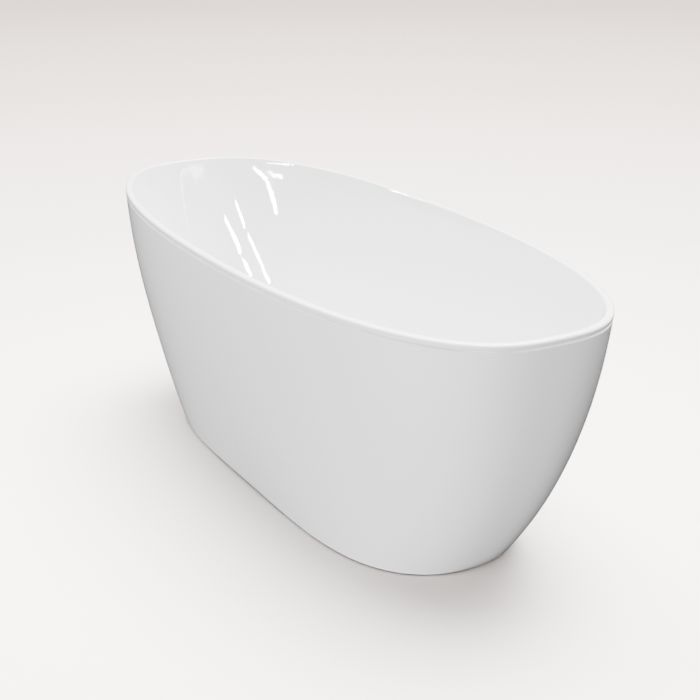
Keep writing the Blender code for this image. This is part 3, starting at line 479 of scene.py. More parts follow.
def piece(name, shapes, body, slot, *nodes):
    """One object from closed shapes, riding on a body and standing for CAD nodes."""
    starts = np.cumsum([0] + [len(points) for points, _ in shapes])
    faces = [[int(start) + corner for corner in face]
             for start, (_, shape_faces) in zip(starts, shapes) for face in shape_faces]
    mesh = bpy.data.meshes.new(name)
    mesh.from_pydata(np.vstack([points for points, _ in shapes]).tolist(), [], faces)
    mesh.shade_smooth()
    mesh.set_sharp_from_angle(angle=SHARP)
    made = bpy.data.objects.new(name, mesh)
    bpy.context.scene.collection.objects.link(made)
    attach(made, body)
    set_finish(made, slot)
    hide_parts(*nodes)
    return made


def cut(target, shape):
    """Take a closed shape out of a piece, and keep the result as the piece's own mesh."""
    mesh = bpy.data.meshes.new("cutter")
    mesh.from_pydata(shape[0].tolist(), [], shape[1])
    cutter = bpy.data.objects.new("cutter", mesh)
    bpy.context.scene.collection.objects.link(cutter)
    boolean = target.modifiers.new("cut", "BOOLEAN")
    boolean.object = cutter
    result = target.evaluated_get(bpy.context.evaluated_depsgraph_get())
    target.data = bpy.data.meshes.new_from_object(result)
    target.modifiers.clear()
    bpy.data.objects.remove(cutter)
    bpy.data.meshes.remove(mesh)


def span(node):
    """Radius, bottom and top of a node turned about an upright axis."""
    low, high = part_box(node)
    return (high[0] - low[0]) / 2, low[2], high[2]


def washer(inner, outer, bottom, top, soft=0.0003):
    return softened([(outer, top), (outer, bottom), (inner, bottom), (inner, top)], soft)


# %% [markdown]
# ## Levelling feet
#
# Each foot is a moulded pad with a ball socket, an M10 stud that turns in the frame's welded
# nut, and a lock nut that is run up against it. The stud's thread has its real 1.5 mm pitch, so
# it is fine enough to read as a thread and not as grooves.

# %% Feet
BALL_RADIUS = 0.0055
STUD_RADIUS = 0.005
STUD_PITCH, STUD_THREAD_DEPTH = 0.0015, 0.0007
STUD_FLATS, LOCK_NUT_FLATS = 0.014, 0.017
PAD_SOCKET_FLOOR = 0.004


def foot(place):
    """Pad, stud with its ball end and hexagon, and lock nut of one foot."""
    axis = [(a + b) / 2 for a, b in zip(*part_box(f"foot_{place}_pad"))]
    at = Matrix.Translation((axis[0], axis[1], 0))
    pad_radius, _, pad_top = span(f"foot_{place}_pad")
    socket = BALL_RADIUS + HAIR
    pad = softened([
        (socket - 0.001, PAD_SOCKET_FLOOR), (socket, PAD_SOCKET_FLOOR + 0.001), (socket, pad_top),
        (socket + 0.003, pad_top), (socket + 0.0045, 0.0075), (pad_radius - 0.003, 0.0058),
        (pad_radius, 0.0042), (pad_radius, 0.0), (pad_radius - 0.002, 0.0)], 0.0008)
    piece(f"foot_pad_{place}", [spun(pad[2:-2], at, capped=True)],
          f"foot_{place}_pad_body", "black_plastic", f"foot_{place}_pad")

    bottom, top = span(f"foot_{place}_stud")[1:]
    swing = np.linspace(-1.2, 0.95, 16)
    ball_middle = PAD_SOCKET_FLOOR + HAIR + BALL_RADIUS
    ball = np.column_stack([BALL_RADIUS * np.cos(swing),
                            ball_middle + BALL_RADIUS * np.sin(swing)])[::-1]
    ball = ball[ball[:, 1] >= bottom]
    hex_low = pad_top + 0.0023
    hex_high = hex_low + 0.008
    shaft = [(STUD_RADIUS - 0.001, top), (STUD_RADIUS, top - 0.001), (STUD_RADIUS, hex_high),
             (0.0069, hex_high), (0.0081, hex_high - 0.0008), (0.0081, hex_low + 0.0008),
             (0.0069, hex_low), (0.0036, hex_low)]
    rows = divided(np.vstack([shaft, ball]), 0.00025 * (1))
    last = int(np.argmin(rows[:, 1]))       # the profile is open and ends under the ball
    piece(f"foot_stud_{place}",
          [spun(rows[:last + 1], at, 36, across=STUD_FLATS,
                thread=(STUD_RADIUS, STUD_PITCH, STUD_THREAD_DEPTH), capped=True)],
          f"foot_{place}_stud_body", "zinc_steel", f"foot_{place}_stud")

    bottom, top = span(f"foot_{place}_lock_nut")[1:]
    bore = STUD_RADIUS + HAIR
    nut = softened([(0.0084, top), (0.0099, top - 0.0007), (0.0099, bottom + 0.0007),
                    (0.0084, bottom), (bore + 0.0006, bottom), (bore, bottom + 0.0006),
                    (bore, top - 0.0006), (bore + 0.0006, top)], 0.0001)
    piece(f"foot_lock_nut_{place}", [spun(nut, at, across=LOCK_NUT_FLATS)], "tub", "zinc_steel",
          f"foot_{place}_lock_nut")


CORNERS = ("front_left", "front_right", "back_left", "back_right")
for corner_name in CORNERS:
    foot(corner_name)
print("feet:", len(CORNERS))

# %% [markdown]
# ## Frame screws
#
# Four pan-head screws hold the board to the rails. Their threads bite into the plywood, and the
# heads have a round recess for the driver.

# %% Screws
for corner_name in CORNERS:
    low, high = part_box(f"frame_screw_{corner_name}")
    at = Matrix.Translation(((low[0] + high[0]) / 2, (low[1] + high[1]) / 2, 0))
    head_radius, bottom, top = span(f"frame_screw_{corner_name}")
    screw = softened([
        (0.0004, top), (0.0025, top - 0.004), (0.0025, bottom + 0.0035),
        (head_radius, bottom + 0.0035), (head_radius, bottom + 0.0022), (0.004, bottom),
        (0.0018, bottom), (0.0018, bottom + 0.002), (0.0004, bottom + 0.002)], 0.0003)
    rows = divided(screw, 0.0005)           # then opened: from the tip to the recess's floor
    rows = np.vstack([rows[np.argmax(rows[:, 1]):], rows[:np.argmax(rows[:, 1])]])
    last = len(rows) - int(np.argmax((rows[::-1, 0] > 0.0004) & (rows[::-1, 1] < bottom + 0.0021)))
    piece(f"frame_screw_{corner_name}_fine",
          [spun(rows[:last], at, 24, thread=(0.0025, 0.0018, 0.0005), capped=True)],
          "tub", "zinc_steel", f"frame_screw_{corner_name}")
print("screws:", len(CORNERS))

# %% [markdown]
# ## The waste
#
# A chromed flange sits in the floor's dish and its threaded tube passes through the hole. A
# large nut pulls it tight from below between two rubber gaskets, and the moulded body under it
# takes the overflow's hose and leads down to the tailpiece. Four arms in the tube carry the hub
# that the plug's cartridge drops into.

# %% Waste
flange_radius, tube_end, flange_top = span("waste_flange")
flange_under = flange_top - 0.003
TUBE_RADIUS = DRAIN_HOLE_RADIUS - 0.002
BORE_RADIUS = TUBE_RADIUS - 0.004
hub_top = flange_under - 0.016
hub_bottom = hub_top - 0.012


def bar(half_x, half_y, low, high, place=None):
    """A rectangular bar from low to high with rounded upright edges."""
    outline = softened([(half_x, -half_y), (half_x, half_y), (-half_x, half_y),
                        (-half_x, -half_y)], 0.0006)
    levels = np.array([high, low])
    points = np.concatenate([np.column_stack([outline, np.full(len(outline), level)])
                             for level in levels])
    count = len(outline)
    faces = grid_faces(2, count).tolist()
    faces.append(list(range(count)))
    faces.append(list(range(2 * count - 1, count - 1, -1)))
    return moved(points, place), faces


flange_profile = softened([
    (BORE_RADIUS + 0.0032, flange_top), (flange_radius - 0.0022, flange_top),
    (flange_radius, flange_under + 0.0008), (flange_radius, flange_under),
    (TUBE_RADIUS, flange_under), (TUBE_RADIUS, tube_end), (BORE_RADIUS, tube_end),
    (BORE_RADIUS, flange_top - 0.0032)], 0.0012, 6)
thread_rows = divided(flange_profile, 0.0004)
HUB_BORE = 0.0065
arm_start, arm_end = HUB_BORE + 0.0007, BORE_RADIUS + 0.002
outwards = Matrix.Translation(((arm_start + arm_end) / 2, 0, 0))
arms = [bar((arm_end - arm_start) / 2, 0.0015, hub_bottom + 0.002, hub_top - 0.002,
            Matrix.Rotation(quarter * math.pi / 2, 4, "Z") @ outwards) for quarter in range(4)]
piece("waste_flange_fine", [
    spun(thread_rows, thread=(TUBE_RADIUS, 0.0021, 0.0008)),
    spun(washer(HUB_BORE, 0.0087, hub_bottom, hub_top, 0.0006)), *arms], "tub", "chrome",
    "waste_flange")

for node in ("waste_gasket_top", "waste_gasket_under"):
    outer, bottom, top = span(node)
    piece(f"{node}_fine", [spun(washer(DRAIN_HOLE_RADIUS, outer, bottom, top))], "tub", "rubber",
          node)

nut_bottom, nut_top = span("waste_nut")[1:]
nut_corner = TUBE_RADIUS + 0.009
nut_across = 2 * nut_corner * math.cos(math.pi / 6)
nut_bore = TUBE_RADIUS + HAIR
nut_rows = softened([
    (nut_corner - 0.003, nut_top), (nut_corner, nut_top - 0.0013),
    (nut_corner, nut_bottom + 0.0013), (nut_corner - 0.003, nut_bottom),
    (nut_bore + 0.001, nut_bottom), (nut_bore, nut_bottom + 0.001),
    (nut_bore, nut_top - 0.001), (nut_bore + 0.001, nut_top)], 0.0002)
piece("waste_nut_fine", [spun(nut_rows, across=nut_across)], "tub", "brass", "waste_nut")

neck_end, body_top = span("waste_body")[1:]
BODY_RADIUS = TUBE_RADIUS + 0.0055
tail_radius, tail_bottom, tail_top = span("tailpiece")
shoulder = tail_top + HAIR + 0.0015
socket = tail_radius + HAIR
bore = tail_radius - 0.002
hose_low, hose_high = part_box("waste_hose_nut")
HOSE_Z = (hose_low[2] + hose_high[2]) / 2
INLET = Matrix.Translation((0, 0, HOSE_Z)) @ Matrix.Rotation(math.pi / 2, 4, "X")
inlet_end = -(hose_low[1] + hose_high[1]) / 2
body_shape = softened([
    (BODY_RADIUS, body_top), (BODY_RADIUS, shoulder), (tail_radius + 0.0045, shoulder),
    (tail_radius + 0.0045, neck_end), (socket, neck_end), (socket, shoulder - 0.0015),
    (bore, shoulder - 0.0015), (bore, shoulder + 0.0015), (BORE_RADIUS + 0.001, shoulder + 0.0015),
    (BORE_RADIUS + 0.001, tube_end - 0.003), (TUBE_RADIUS + HAIR, tube_end - 0.003),
    (TUBE_RADIUS + HAIR, body_top)], 0.0008)
ridge = BODY_RADIUS + 0.0012
collar = washer(BODY_RADIUS - 0.001, ridge, body_top - 0.006, body_top - 0.0005, 0.0006)
spigot = washer(0.006, 0.0085, BODY_RADIUS - 0.003, inlet_end, 0.0006)
piece("waste_body_fine", [spun(body_shape), spun(collar), spun(spigot, INLET, 48)],
      "tub", "white_plastic", "waste_body")
piece("tailpiece_fine", [
    spun(washer(bore, tail_radius, tail_bottom, tail_top, 0.0008))], "tub", "white_plastic",
    "tailpiece")


def grip_nut(outer, inner, low, high, ribs, place=None, step=None):
    """A moulded hand nut: its outer radius swells ribs times round, by a raised cosine."""
    lines = [(outer, high), (outer, low), (inner, low), (inner, high)] if step is None else step
    profile = softened(lines, 0.0008)
    points, faces = spun(profile, None, 6 * ribs)
    radius = np.hypot(points[:, 0], points[:, 1])
    angle = np.arctan2(points[:, 1], points[:, 0])
    edge = np.clip(np.minimum(points[:, 2] - low, high - points[:, 2]) / 0.002, 0, 1)
    dip = 0.0006 * edge * (1 - np.cos(ribs * angle)) / 2 * (radius > outer - 0.0003)
    return moved(points * np.stack([1 - dip / radius, 1 - dip / radius, np.ones(len(dip))], 1),
                 place), faces


slip_radius, slip_bottom, slip_top = span("tailpiece_nut")
slip_step = neck_end - HAIR
slip_lines = [(slip_radius, slip_top), (slip_radius, slip_bottom), (socket, slip_bottom),
              (socket, slip_step), (tail_radius + 0.0045 + HAIR, slip_step),
              (tail_radius + 0.0045 + HAIR, slip_top)]
piece("tailpiece_nut_fine", [grip_nut(slip_radius, socket, slip_bottom, slip_top, 24,
                                      step=slip_lines)],
      "tub", "white_plastic", "tailpiece_nut")
nut_outer = (hose_high[2] - hose_low[2]) / 2
piece("waste_hose_nut_fine", [grip_nut(nut_outer, 0.0088, -hose_high[1], -hose_low[1],
                                       16, INLET)],
      "tub", "white_plastic", "waste_hose_nut")
print(f"waste: flange {flange_radius * 2000:.0f} mm across, tailpiece ends at {tail_bottom:.3f} m")

# %% [markdown]
# ## The press plug
#
# A press lifts or seats the plug. Its cap is a shallow chromed dome with a rubber seal under it,
# and a brass stem slides in the cartridge against a steel coil. The coil is a circle of wire
# carried along a helix, with its end turns drawn close.

# %% Plug
cap_radius, cap_under, cap_top = span("plug_cap")
swing = np.linspace(0.02, 1, 24)
dome = np.column_stack([swing * (cap_radius - 0.0015), cap_top - 0.0013 * swing ** 2.4])
edge = softened([(cap_radius - 0.0015, cap_top - 0.0013), (cap_radius, cap_top - 0.0024),
                 (cap_radius, cap_under + 0.0008), (cap_radius - 0.001, cap_under),
                 (0.0035, cap_under)], 0.0005)[4:-4]
cap_rows = np.vstack([dome, edge, [(0.0036, cap_under), (0.0036, cap_under + 0.0020)]])
piece("plug_cap_fine", [spun(cap_rows, columns=96, capped=True)], "plug", "chrome", "plug_cap")
seal_radius, seal_bottom, seal_top = span("plug_seal")
seal_inner = seal_radius - 0.006
seal_rows = softened([(seal_radius, seal_top), (seal_radius - 0.0004, seal_bottom + 0.0007),
                      (seal_radius - 0.0016, seal_bottom), (seal_inner, seal_bottom),
                      (seal_inner, seal_top)], 0.0004)
piece("plug_seal_fine", [spun(seal_rows)], "plug", "rubber", "plug_seal")
stem_radius, stem_bottom, stem_top = span("plug_stem")
stem_rows = np.array([(stem_radius - 0.0008, stem_top), (stem_radius, stem_top - 0.0008),
                      (stem_radius, stem_bottom + 0.0006), (stem_radius - 0.0006, stem_bottom)])
piece("plug_stem_fine", [spun(stem_rows, columns=36, capped=True)], "plug", "brass", "plug_stem")
cartridge_radius, cartridge_bottom, cartridge_top = span("plug_cartridge")
cartridge_rows = softened([
    (cartridge_radius, cartridge_top), (cartridge_radius, cartridge_top - 0.002),
    (0.0062, cartridge_top - 0.002), (0.0062, cartridge_bottom), (0.0035, cartridge_bottom),
    (0.0035, cartridge_top)], 0.0004)
piece("plug_cartridge_fine", [spun(cartridge_rows, columns=48)], "tub", "brass",
      "plug_cartridge")


def coil(radius, wire, low, high, turns, steps=28, sides=10):
    """A circle of wire at radius, angle 2 pi t and a height that starts and ends with flat turns."""
    t = np.linspace(0, turns, turns * steps + 1)
    rise = np.clip((t - 0.75) / (turns - 1.5), 0, 1)
    height = low + (high - low - 2 * wire) * rise + wire * 1.2 * np.clip(t, 0, 1)
    height = height + (high - height[-1]) * np.clip(t - (turns - 1), 0, 1)
    outwards = np.stack([np.cos(2 * math.pi * t), np.sin(2 * math.pi * t), 0 * t], 1)
    middle = outwards * radius + np.stack([0 * t, 0 * t, height], 1)
    along = np.gradient(middle, axis=0)
    along = along / np.linalg.norm(along, axis=1, keepdims=True)
    across = np.cross(along, outwards)
    turn = np.linspace(0, 2 * math.pi, sides, endpoint=False)[None, :, None]
    points = middle[:, None] + wire * (np.cos(turn) * outwards[:, None]
                                       + np.sin(turn) * across[:, None])
    return points.reshape(-1, 3), tube_faces(len(t), sides)


spring_outer, spring_bottom, spring_top = span("plug_spring")
WIRE = 0.0008
spring = piece("plug_spring_fine", [coil(spring_outer - WIRE, WIRE, spring_bottom + WIRE,
                                         spring_top - WIRE, 6)], "tub", "zinc_steel",
               "plug_spring")
press = [joint for joint in frame["joints"] if joint["name"] == "plug_press"][0]
press_depth = max(abs(limit) for limit in press["range_m"])
1 - press_depth / (spring_top - spring_bottom)
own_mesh(spring)
print(f"plug rises {press_depth * 1000:.0f} mm")

# %% [markdown]
# ## The overflow
#
# High in one long wall, a threaded chrome ring clamps a slim body behind the sheet, and a round
# cover hides it, with a slot underneath where water enters. A frame on the wall gives every
# piece its axes: Z looks into the tub and Y runs down the wall.

# %% Overflow
OVERFLOW_Z = HEIGHT - 0.115
OVERFLOW_HOLE_RADIUS = 0.016
OVERFLOW_BAND = 0.045


def inner_side(z):
    """Half width of the basin at its middle, fillet included."""
    rise = (z - FLOOR_HEIGHT) / (WALL_TOP - FLOOR_HEIGHT)
    turn = math.sqrt(1 - (1 - min((z - FLOOR_HEIGHT) / FILLET_HEIGHT, 1)) ** 2)
    foot = FLOOR_HALF_WIDTH + FILLET_SIDE
    return FLOOR_HALF_WIDTH + FILLET_SIDE * turn + (WIDTH / 2 - RIM_WIDTH - foot) * rise


wall_growth = inner_side(OVERFLOW_Z + OVERFLOW_BAND) - inner_side(OVERFLOW_Z - OVERFLOW_BAND)
wall_normal = Vector((0, 2 * OVERFLOW_BAND, wall_growth))
z_axis = wall_normal.normalized()
x_axis = Vector((1, 0, 0))
y_axis = z_axis.cross(x_axis)
OVERFLOW = Matrix.Translation((0, -inner_side(OVERFLOW_Z), OVERFLOW_Z))
OVERFLOW = OVERFLOW @ Matrix((x_axis, y_axis, z_axis)).transposed().to_4x4()

for shell, depth in ((basin, 0.02), (basin_laminate, 0.03)):
    drill = np.array([(OVERFLOW_HOLE_RADIUS, 0.02), (OVERFLOW_HOLE_RADIUS, -depth)])
    cut(shell, spun(drill, OVERFLOW, capped=True))
    shell.data.shade_smooth()
    shell.data.set_sharp_from_angle(angle=SHARP)

ring_outer = OVERFLOW_HOLE_RADIUS + 0.006
face = HAIR + 0.0015 + HAIR
back_face = -(ACRYLIC + 2 * HAIR + LAMINATE)
body_front = back_face - 0.002 - HAIR
piece("overflow_gasket_front_fine", [
    spun(washer(OVERFLOW_HOLE_RADIUS, ring_outer - 0.001, HAIR, face - HAIR), OVERFLOW)],
    "tub", "rubber", "overflow_gasket_front")
piece("overflow_gasket_back_fine", [
    spun(washer(OVERFLOW_HOLE_RADIUS, OVERFLOW_HOLE_RADIUS + 0.007, body_front + HAIR,
                back_face), OVERFLOW)], "tub", "rubber", "overflow_gasket_back")
tube_outer = OVERFLOW_HOLE_RADIUS - 0.0015
ring_rows = softened([
    (ring_outer, face + 0.003), (ring_outer, face), (tube_outer, face),
    (tube_outer, body_front - 0.006), (tube_outer - 0.002, body_front - 0.006),
    (tube_outer - 0.002, face + 0.003)], 0.0006)
piece("overflow_ring_fine", [
    spun(divided(ring_rows, 0.0003), OVERFLOW, thread=(tube_outer, 0.0012, 0.0005))],
    "tub", "chrome", "overflow_ring")

COVER_HEIGHT = 0.0185
ceiling = COVER_HEIGHT - 0.0045
cover_inner = ring_outer + HAIR
cover_outer = cover_inner + 0.004
swing = np.linspace(0.02, 1, 20)
cover_dome = np.column_stack([swing * (cover_outer - 0.003),
                              COVER_HEIGHT - 0.0006 * swing ** 2.2])
cover_edge = softened([
    (cover_outer - 0.003, COVER_HEIGHT - 0.0006), (cover_outer, COVER_HEIGHT - 0.0030),
    (cover_outer, face), (cover_inner, face), (cover_inner, ceiling), (0.001, ceiling)],
    0.0012, 6)[6:-6]
overflow_cover = piece("overflow_cover_fine", [
    spun(np.vstack([cover_dome, cover_edge, [(0.001, ceiling)]]), OVERFLOW, 96, capped=True)],
    "tub", "chrome", "overflow_cover")
slot_place = OVERFLOW @ Matrix.Translation((0, ring_outer, 0))
cut(overflow_cover, bar(0.012, 0.008, face + 0.0033, ceiling - 0.0005, slot_place))
print(f"overflow centre {OVERFLOW_Z:.3f} m high, cover {cover_outer * 2000:.0f} mm across")

# %% [markdown]
# ## The overflow hose
#
# A corrugated hose drops between the two walls, turns under the frame and meets the waste. Its
# middle line is a smooth curve through a few points on the walls' own formulas. The radius
# dips with a raised cosine every few millimetres, and it stays smooth for a cuff at each end.

# %% Hose
HOSE_RADIUS = 0.0085
HOSE_NUT_WALL = 0.0022
BEHIND_WALL = 0.0017    # between the basin's backing and the hose's nut
hose_depth = ACRYLIC + HAIR + LAMINATE + BEHIND_WALL + HOSE_RADIUS + HAIR + HOSE_NUT_WALL
DOWN = OVERFLOW @ Matrix.Translation((0, 0, -hose_depth)) @ Matrix.Rotation(-math.pi / 2, 4, "X")
spigot_end = 0.030 + 0.020


def smooth_through(points, spacing):
    """Catmull-Rom: half of (2b + (c-a)t + (2a-5b+4c-d)t^2 + (3b-a-3c+d)t^3) between b and c."""
    ends = np.vstack([2 * points[0] - points[1], points, 2 * points[-1] - points[-2]])
    a, b, c, d = (ends[k:len(ends) - 3 + k][:, None] for k in range(4))
    t = np.linspace(0, 1, 40, endpoint=False)[None, :, None]
    curve = 0.5 * (2 * b + (c - a) * t + (2 * a - 5 * b + 4 * c - d) * t ** 2
                   + (3 * b - a - 3 * c + d) * t ** 3)
    curve = np.vstack([curve.reshape(-1, 3), points[-1:]])
    along = np.append(0, np.cumsum(np.linalg.norm(np.diff(curve, axis=0), axis=1)))
    marks = np.linspace(0, along[-1], round(along[-1] / spacing))
    return marks, np.column_stack([np.interp(marks, along, curve[:, k]) for k in range(3)])


def corrugated(route, radius, pitch, depth, cuff, sides=24):
    """Ring of radius r(s) across the route, r = R - depth (1 - cos(2 pi s / pitch)) / 2."""
    along, middle = smooth_through(np.asarray(route, float), pitch / 6)
    forward = np.gradient(middle, axis=0)
    forward = forward / np.linalg.norm(forward, axis=1, keepdims=True)
    level = np.broadcast_to([1.0, 0, 0], forward.shape)
    across = np.cross(forward, level)
    plain = np.minimum(along, along[-1] - along) < cuff
    ring = radius - np.where(plain, 0, depth * (1 - np.cos(2 * math.pi * along / pitch)) / 2)
    turn = np.linspace(0, 2 * math.pi, sides, endpoint=False)[None, :, None]
    points = middle[:, None] + ring[:, None, None] * (np.cos(turn) * level[:, None]
                                                      + np.sin(turn) * across[:, None])
    return points.reshape(-1, 3), tube_faces(len(along), sides)


def outer_side(z):
    """Half width of the skirt at its middle."""
    return FOOT_HALF_WIDTH + SKIRT_SIDE_TAPER * (1 - (1 - z / SKIRT_TOP) ** SIDE_CURVE)


nut_high = spigot_end + 0.012
route = [DOWN @ Vector((0, 0, spigot_end + 2 * HAIR)), DOWN @ Vector((0, 0, nut_high + 0.001)),
         DOWN @ Vector((0, 0, nut_high + 0.010))]
leave_z = route[-1].z
lowest = FLOOR_HEIGHT + FILLET_HEIGHT / 2
for share in (0.70, 0.35, 0.0):
    z = lowest + (leave_z - lowest) * share
    route.append(Vector((0, -(outer_side(z) + inner_side(z)) / 2, z)))
corner_y = route[-1].y
hose_end = inlet_end + 2 * HAIR
straight = hose_end + 0.024
route.append(Vector((0, corner_y + 0.012, (lowest + HOSE_Z) / 2 + 0.012)))
route.append(Vector((0, (corner_y - straight) / 2 - 0.020, HOSE_Z + 0.004)))
route.append(Vector((0, -straight, HOSE_Z)))
route.append(Vector((0, -hose_end, HOSE_Z)))
piece("overflow_hose_fine", [corrugated(route, HOSE_RADIUS, 0.0042, 0.0012, 0.022)],
      "tub", "grey_hose", "overflow_hose")
nut_lines = [(0.0110, nut_high), (0.0110, spigot_end - 0.012), (0.0063, spigot_end - 0.012),
             (0.0063, spigot_end), (0.0088, spigot_end), (0.0088, nut_high)]
piece("overflow_hose_nut_fine", [
    grip_nut(0.0110, 0.0063, spigot_end - 0.012, nut_high, 16, DOWN, step=nut_lines)],
    "tub", "white_plastic", "overflow_hose_nut")
print("hose route points:", len(route))

# %% [markdown]
# ## Finishes as shader graphs
#
# A small class wraps a node's output socket, so shader maths reads like ordinary arithmetic.
# Every other node comes from one method that takes its type, its settings and its inputs. The
# same class builds the materials and the light in the studio.

# %% Shader helper
class Signal:
    """A number that changes over the surface; arithmetic on it adds Math nodes."""

    def __init__(self, graph, socket):
        self.graph = graph
        self.socket = socket

    def math(self, operation, *values):
        made = self.graph.node("ShaderNodeMath", {"operation": operation}, *values)
        return Signal(self.graph, made.outputs[0])

    def __add__(self, other):
        return self.math("ADD", self, other)

    __radd__ = __add__

    def __sub__(self, other):
        return self.math("SUBTRACT", self, other)

    def __rsub__(self, other):
        return self.math("SUBTRACT", other, self)

    def __mul__(self, other):
        return self.math("MULTIPLY", self, other)

    __rmul__ = __mul__

    def __truediv__(self, other):
        return self.math("DIVIDE", self, other)

    def __mod__(self, other):
        return self.math("FLOORED_MODULO", self, other)

    def __pow__(self, other):
        return self.math("POWER", self, other)

    def at_least(self, other):
        return self.math("MAXIMUM", self, other)


class Graph:
    """A node tree with one method that adds any node."""

    def __init__(self, tree):
        self.tree = tree

    def feed(self, socket, value):
        """Link a socket to another, or set its value."""
        value = value.socket if isinstance(value, Signal) else value
        if isinstance(value, bpy.types.NodeSocket):
            self.tree.links.new(value, socket)
        else:
            socket.default_value = value

    def node(self, kind, settings=None, *values, **named):
        """Any node: its settings first, then its inputs by order or by name."""
        made = self.tree.nodes.new(kind)
        for key, value in (settings or {}).items():
            setattr(made, key, value)
        for socket, value in zip(made.inputs, values):
            self.feed(socket, value)
        for key, value in named.items():
            self.feed(made.inputs[key.replace("_", " ")], value)
        return made

    def place(self, scale=None, turn=(0.0, 0.0, 0.0)):
        """Object coordinates, metres in the tub's own frame, scaled by axis for a grain."""
        point = self.node("ShaderNodeTexCoord").outputs["Object"]
        if scale is None:
            return point
        made = self.node("ShaderNodeMapping", None, Vector=point, Rotation=turn, Scale=scale)
        return made.outputs["Vector"]

    def axis(self, name):
        made = self.node("ShaderNodeSeparateXYZ", None, self.place())
        return Signal(self, made.outputs[name])

    def noise(self, scale, detail=2.0, roughness=0.5, place=None):
        made = self.node("ShaderNodeTexNoise", None, Vector=place or self.place(), Scale=scale,
                         Detail=detail, Roughness=roughness)
        return Signal(self, made.outputs["Fac"])

    def cells(self, scale, output="Color", feature="F1", place=None):
        """Voronoi cells: a random value in each, or the distance inside each."""
        made = self.node("ShaderNodeTexVoronoi", {"feature": feature},
                         Vector=place or self.place(), Scale=scale)
        return Signal(self, made.outputs[output])

    def step(self, signal, low, high):
        """0 below low, 1 above high, smooth between."""
        made = self.node("ShaderNodeMapRange", {"interpolation_type": "SMOOTHSTEP"})
        self.feed(made.inputs[0], signal)
        self.feed(made.inputs[1], low)
        self.feed(made.inputs[2], high)
        return Signal(self, made.outputs[0])

    def blend(self, share, first, second):
        """A colour between two, by a share from 0 to 1."""
        made = self.node("ShaderNodeMix", {"data_type": "RGBA"})
        self.feed(made.inputs[0], share)
        self.feed(made.inputs[6], (*first, 1.0) if isinstance(first, tuple) else first)
        self.feed(made.inputs[7], (*second, 1.0) if isinstance(second, tuple) else second)
        return made.outputs[2]


class Finish(Graph):
    """A Principled material."""

    def __init__(self, name, color, roughness, metallic=0.0, **constants):
        self.material = bpy.data.materials.new(name)
        self.material.use_nodes = True
        super().__init__(self.material.node_tree)
        self.shader = self.tree.nodes["Principled BSDF"]
        self.set("Base Color", (*color, 1.0))
        self.set("Roughness", roughness)
        self.set("Metallic", metallic)
        for key, value in constants.items():
            self.set(key.replace("_", " "), value)

    def set(self, name, value):
        self.feed(self.shader.inputs[name], value)

    def bump(self, height, distance, strength=1.0):
        made = self.node("ShaderNodeBump", None, Strength=strength, Distance=distance,
                         Height=height)
        self.set("Normal", made.outputs["Normal"])


# %% [markdown]
# ## Gloss acrylic
#
# Cast acrylic sheet is white right through and polished, so it is nearly a mirror under its
# white. Two things keep it from looking like paint: vacuum forming leaves the sheet very
# slightly wavy, which bends bright lines as they cross it, and wiping leaves faint patches
# where the gloss is a little lower.

# %% Acrylic
acrylic = Finish("gloss_acrylic", (0.865, 0.865, 0.86), 0.05, IOR=1.49)
sheet_wave = acrylic.noise(3.2, 1.0) + 0.75 * acrylic.noise(24.0, 1.0)
sheet_wave = sheet_wave + 0.25 * acrylic.noise(75.0, 1.0)
acrylic.bump(sheet_wave, 0.0004)
wiped = acrylic.step(acrylic.noise(9.0, 5.0, 0.6, acrylic.place((1.0, 1.0, 0.5))), 0.45, 0.75)
acrylic.set("Roughness", 0.035 + 0.03 * wiped)
whiteness = acrylic.step(acrylic.noise(2.0, 2.0), 0.3, 0.7)
acrylic.set("Base Color", acrylic.blend(whiteness, (0.862, 0.862, 0.858), (0.872, 0.872, 0.868)))

# %% [markdown]
# ## Laminate, adhesive and board
#
# Sprayed glass strand is short straight fibres lying every way in amber resin. Three noises,
# each stretched along a different direction, overlap into such a mat. The board shows flat
# grain on its faces and the stack of thin plies on its cut edge, which is a pattern in height
# alone.

# %% Laminate, adhesive, plywood
laminate = Finish("glass_strand_laminate", (0.60, 0.56, 0.42), 0.42)
mat = [laminate.noise(1.0, 2.0, 0.6, laminate.place((700, 60, 60), (0.3, 0.4, turn)))
       for turn in (0.0, 1.05, 2.1)]
strand = mat[0].at_least(mat[1]).at_least(mat[2])
fibre = laminate.step(strand, 0.55, 0.78)
resin = laminate.step(laminate.noise(18.0, 3.0), 0.35, 0.7)
laminate.set("Base Color", laminate.blend(
    fibre, laminate.blend(resin, (0.50, 0.44, 0.27), (0.58, 0.53, 0.38)), (0.74, 0.72, 0.62)))
laminate.set("Roughness", 0.34 + 0.22 * fibre)
laminate.bump(fibre + 0.5 * resin, 0.0005)

adhesive = Finish("rim_adhesive", (0.80, 0.79, 0.75), 0.5)
lumps = adhesive.noise(60.0, 3.0, 0.6)
adhesive.set("Base Color", adhesive.blend(adhesive.step(lumps, 0.3, 0.7), (0.74, 0.73, 0.68),
                                          (0.84, 0.83, 0.79)))
adhesive.bump(lumps, 0.0015)

plywood = Finish("birch_plywood", (0.55, 0.41, 0.26), 0.62)
grain = plywood.noise(1.0, 6.0, 0.65, plywood.place((9, 130, 9)))
PLY = 0.0030
through = plywood.axis("Z") / PLY % 1.0
ply = plywood.step(through.math("PINGPONG", through, 0.5), 0.22, 0.28)
timber = plywood.blend(plywood.step(grain, 0.35, 0.72), (0.60, 0.45, 0.29), (0.42, 0.29, 0.17))
plywood.set("Base Color", plywood.blend(0.55 * ply, timber, (0.33, 0.22, 0.13)))
plywood.set("Roughness", 0.55 + 0.2 * grain)
plywood.bump(grain, 0.0002)

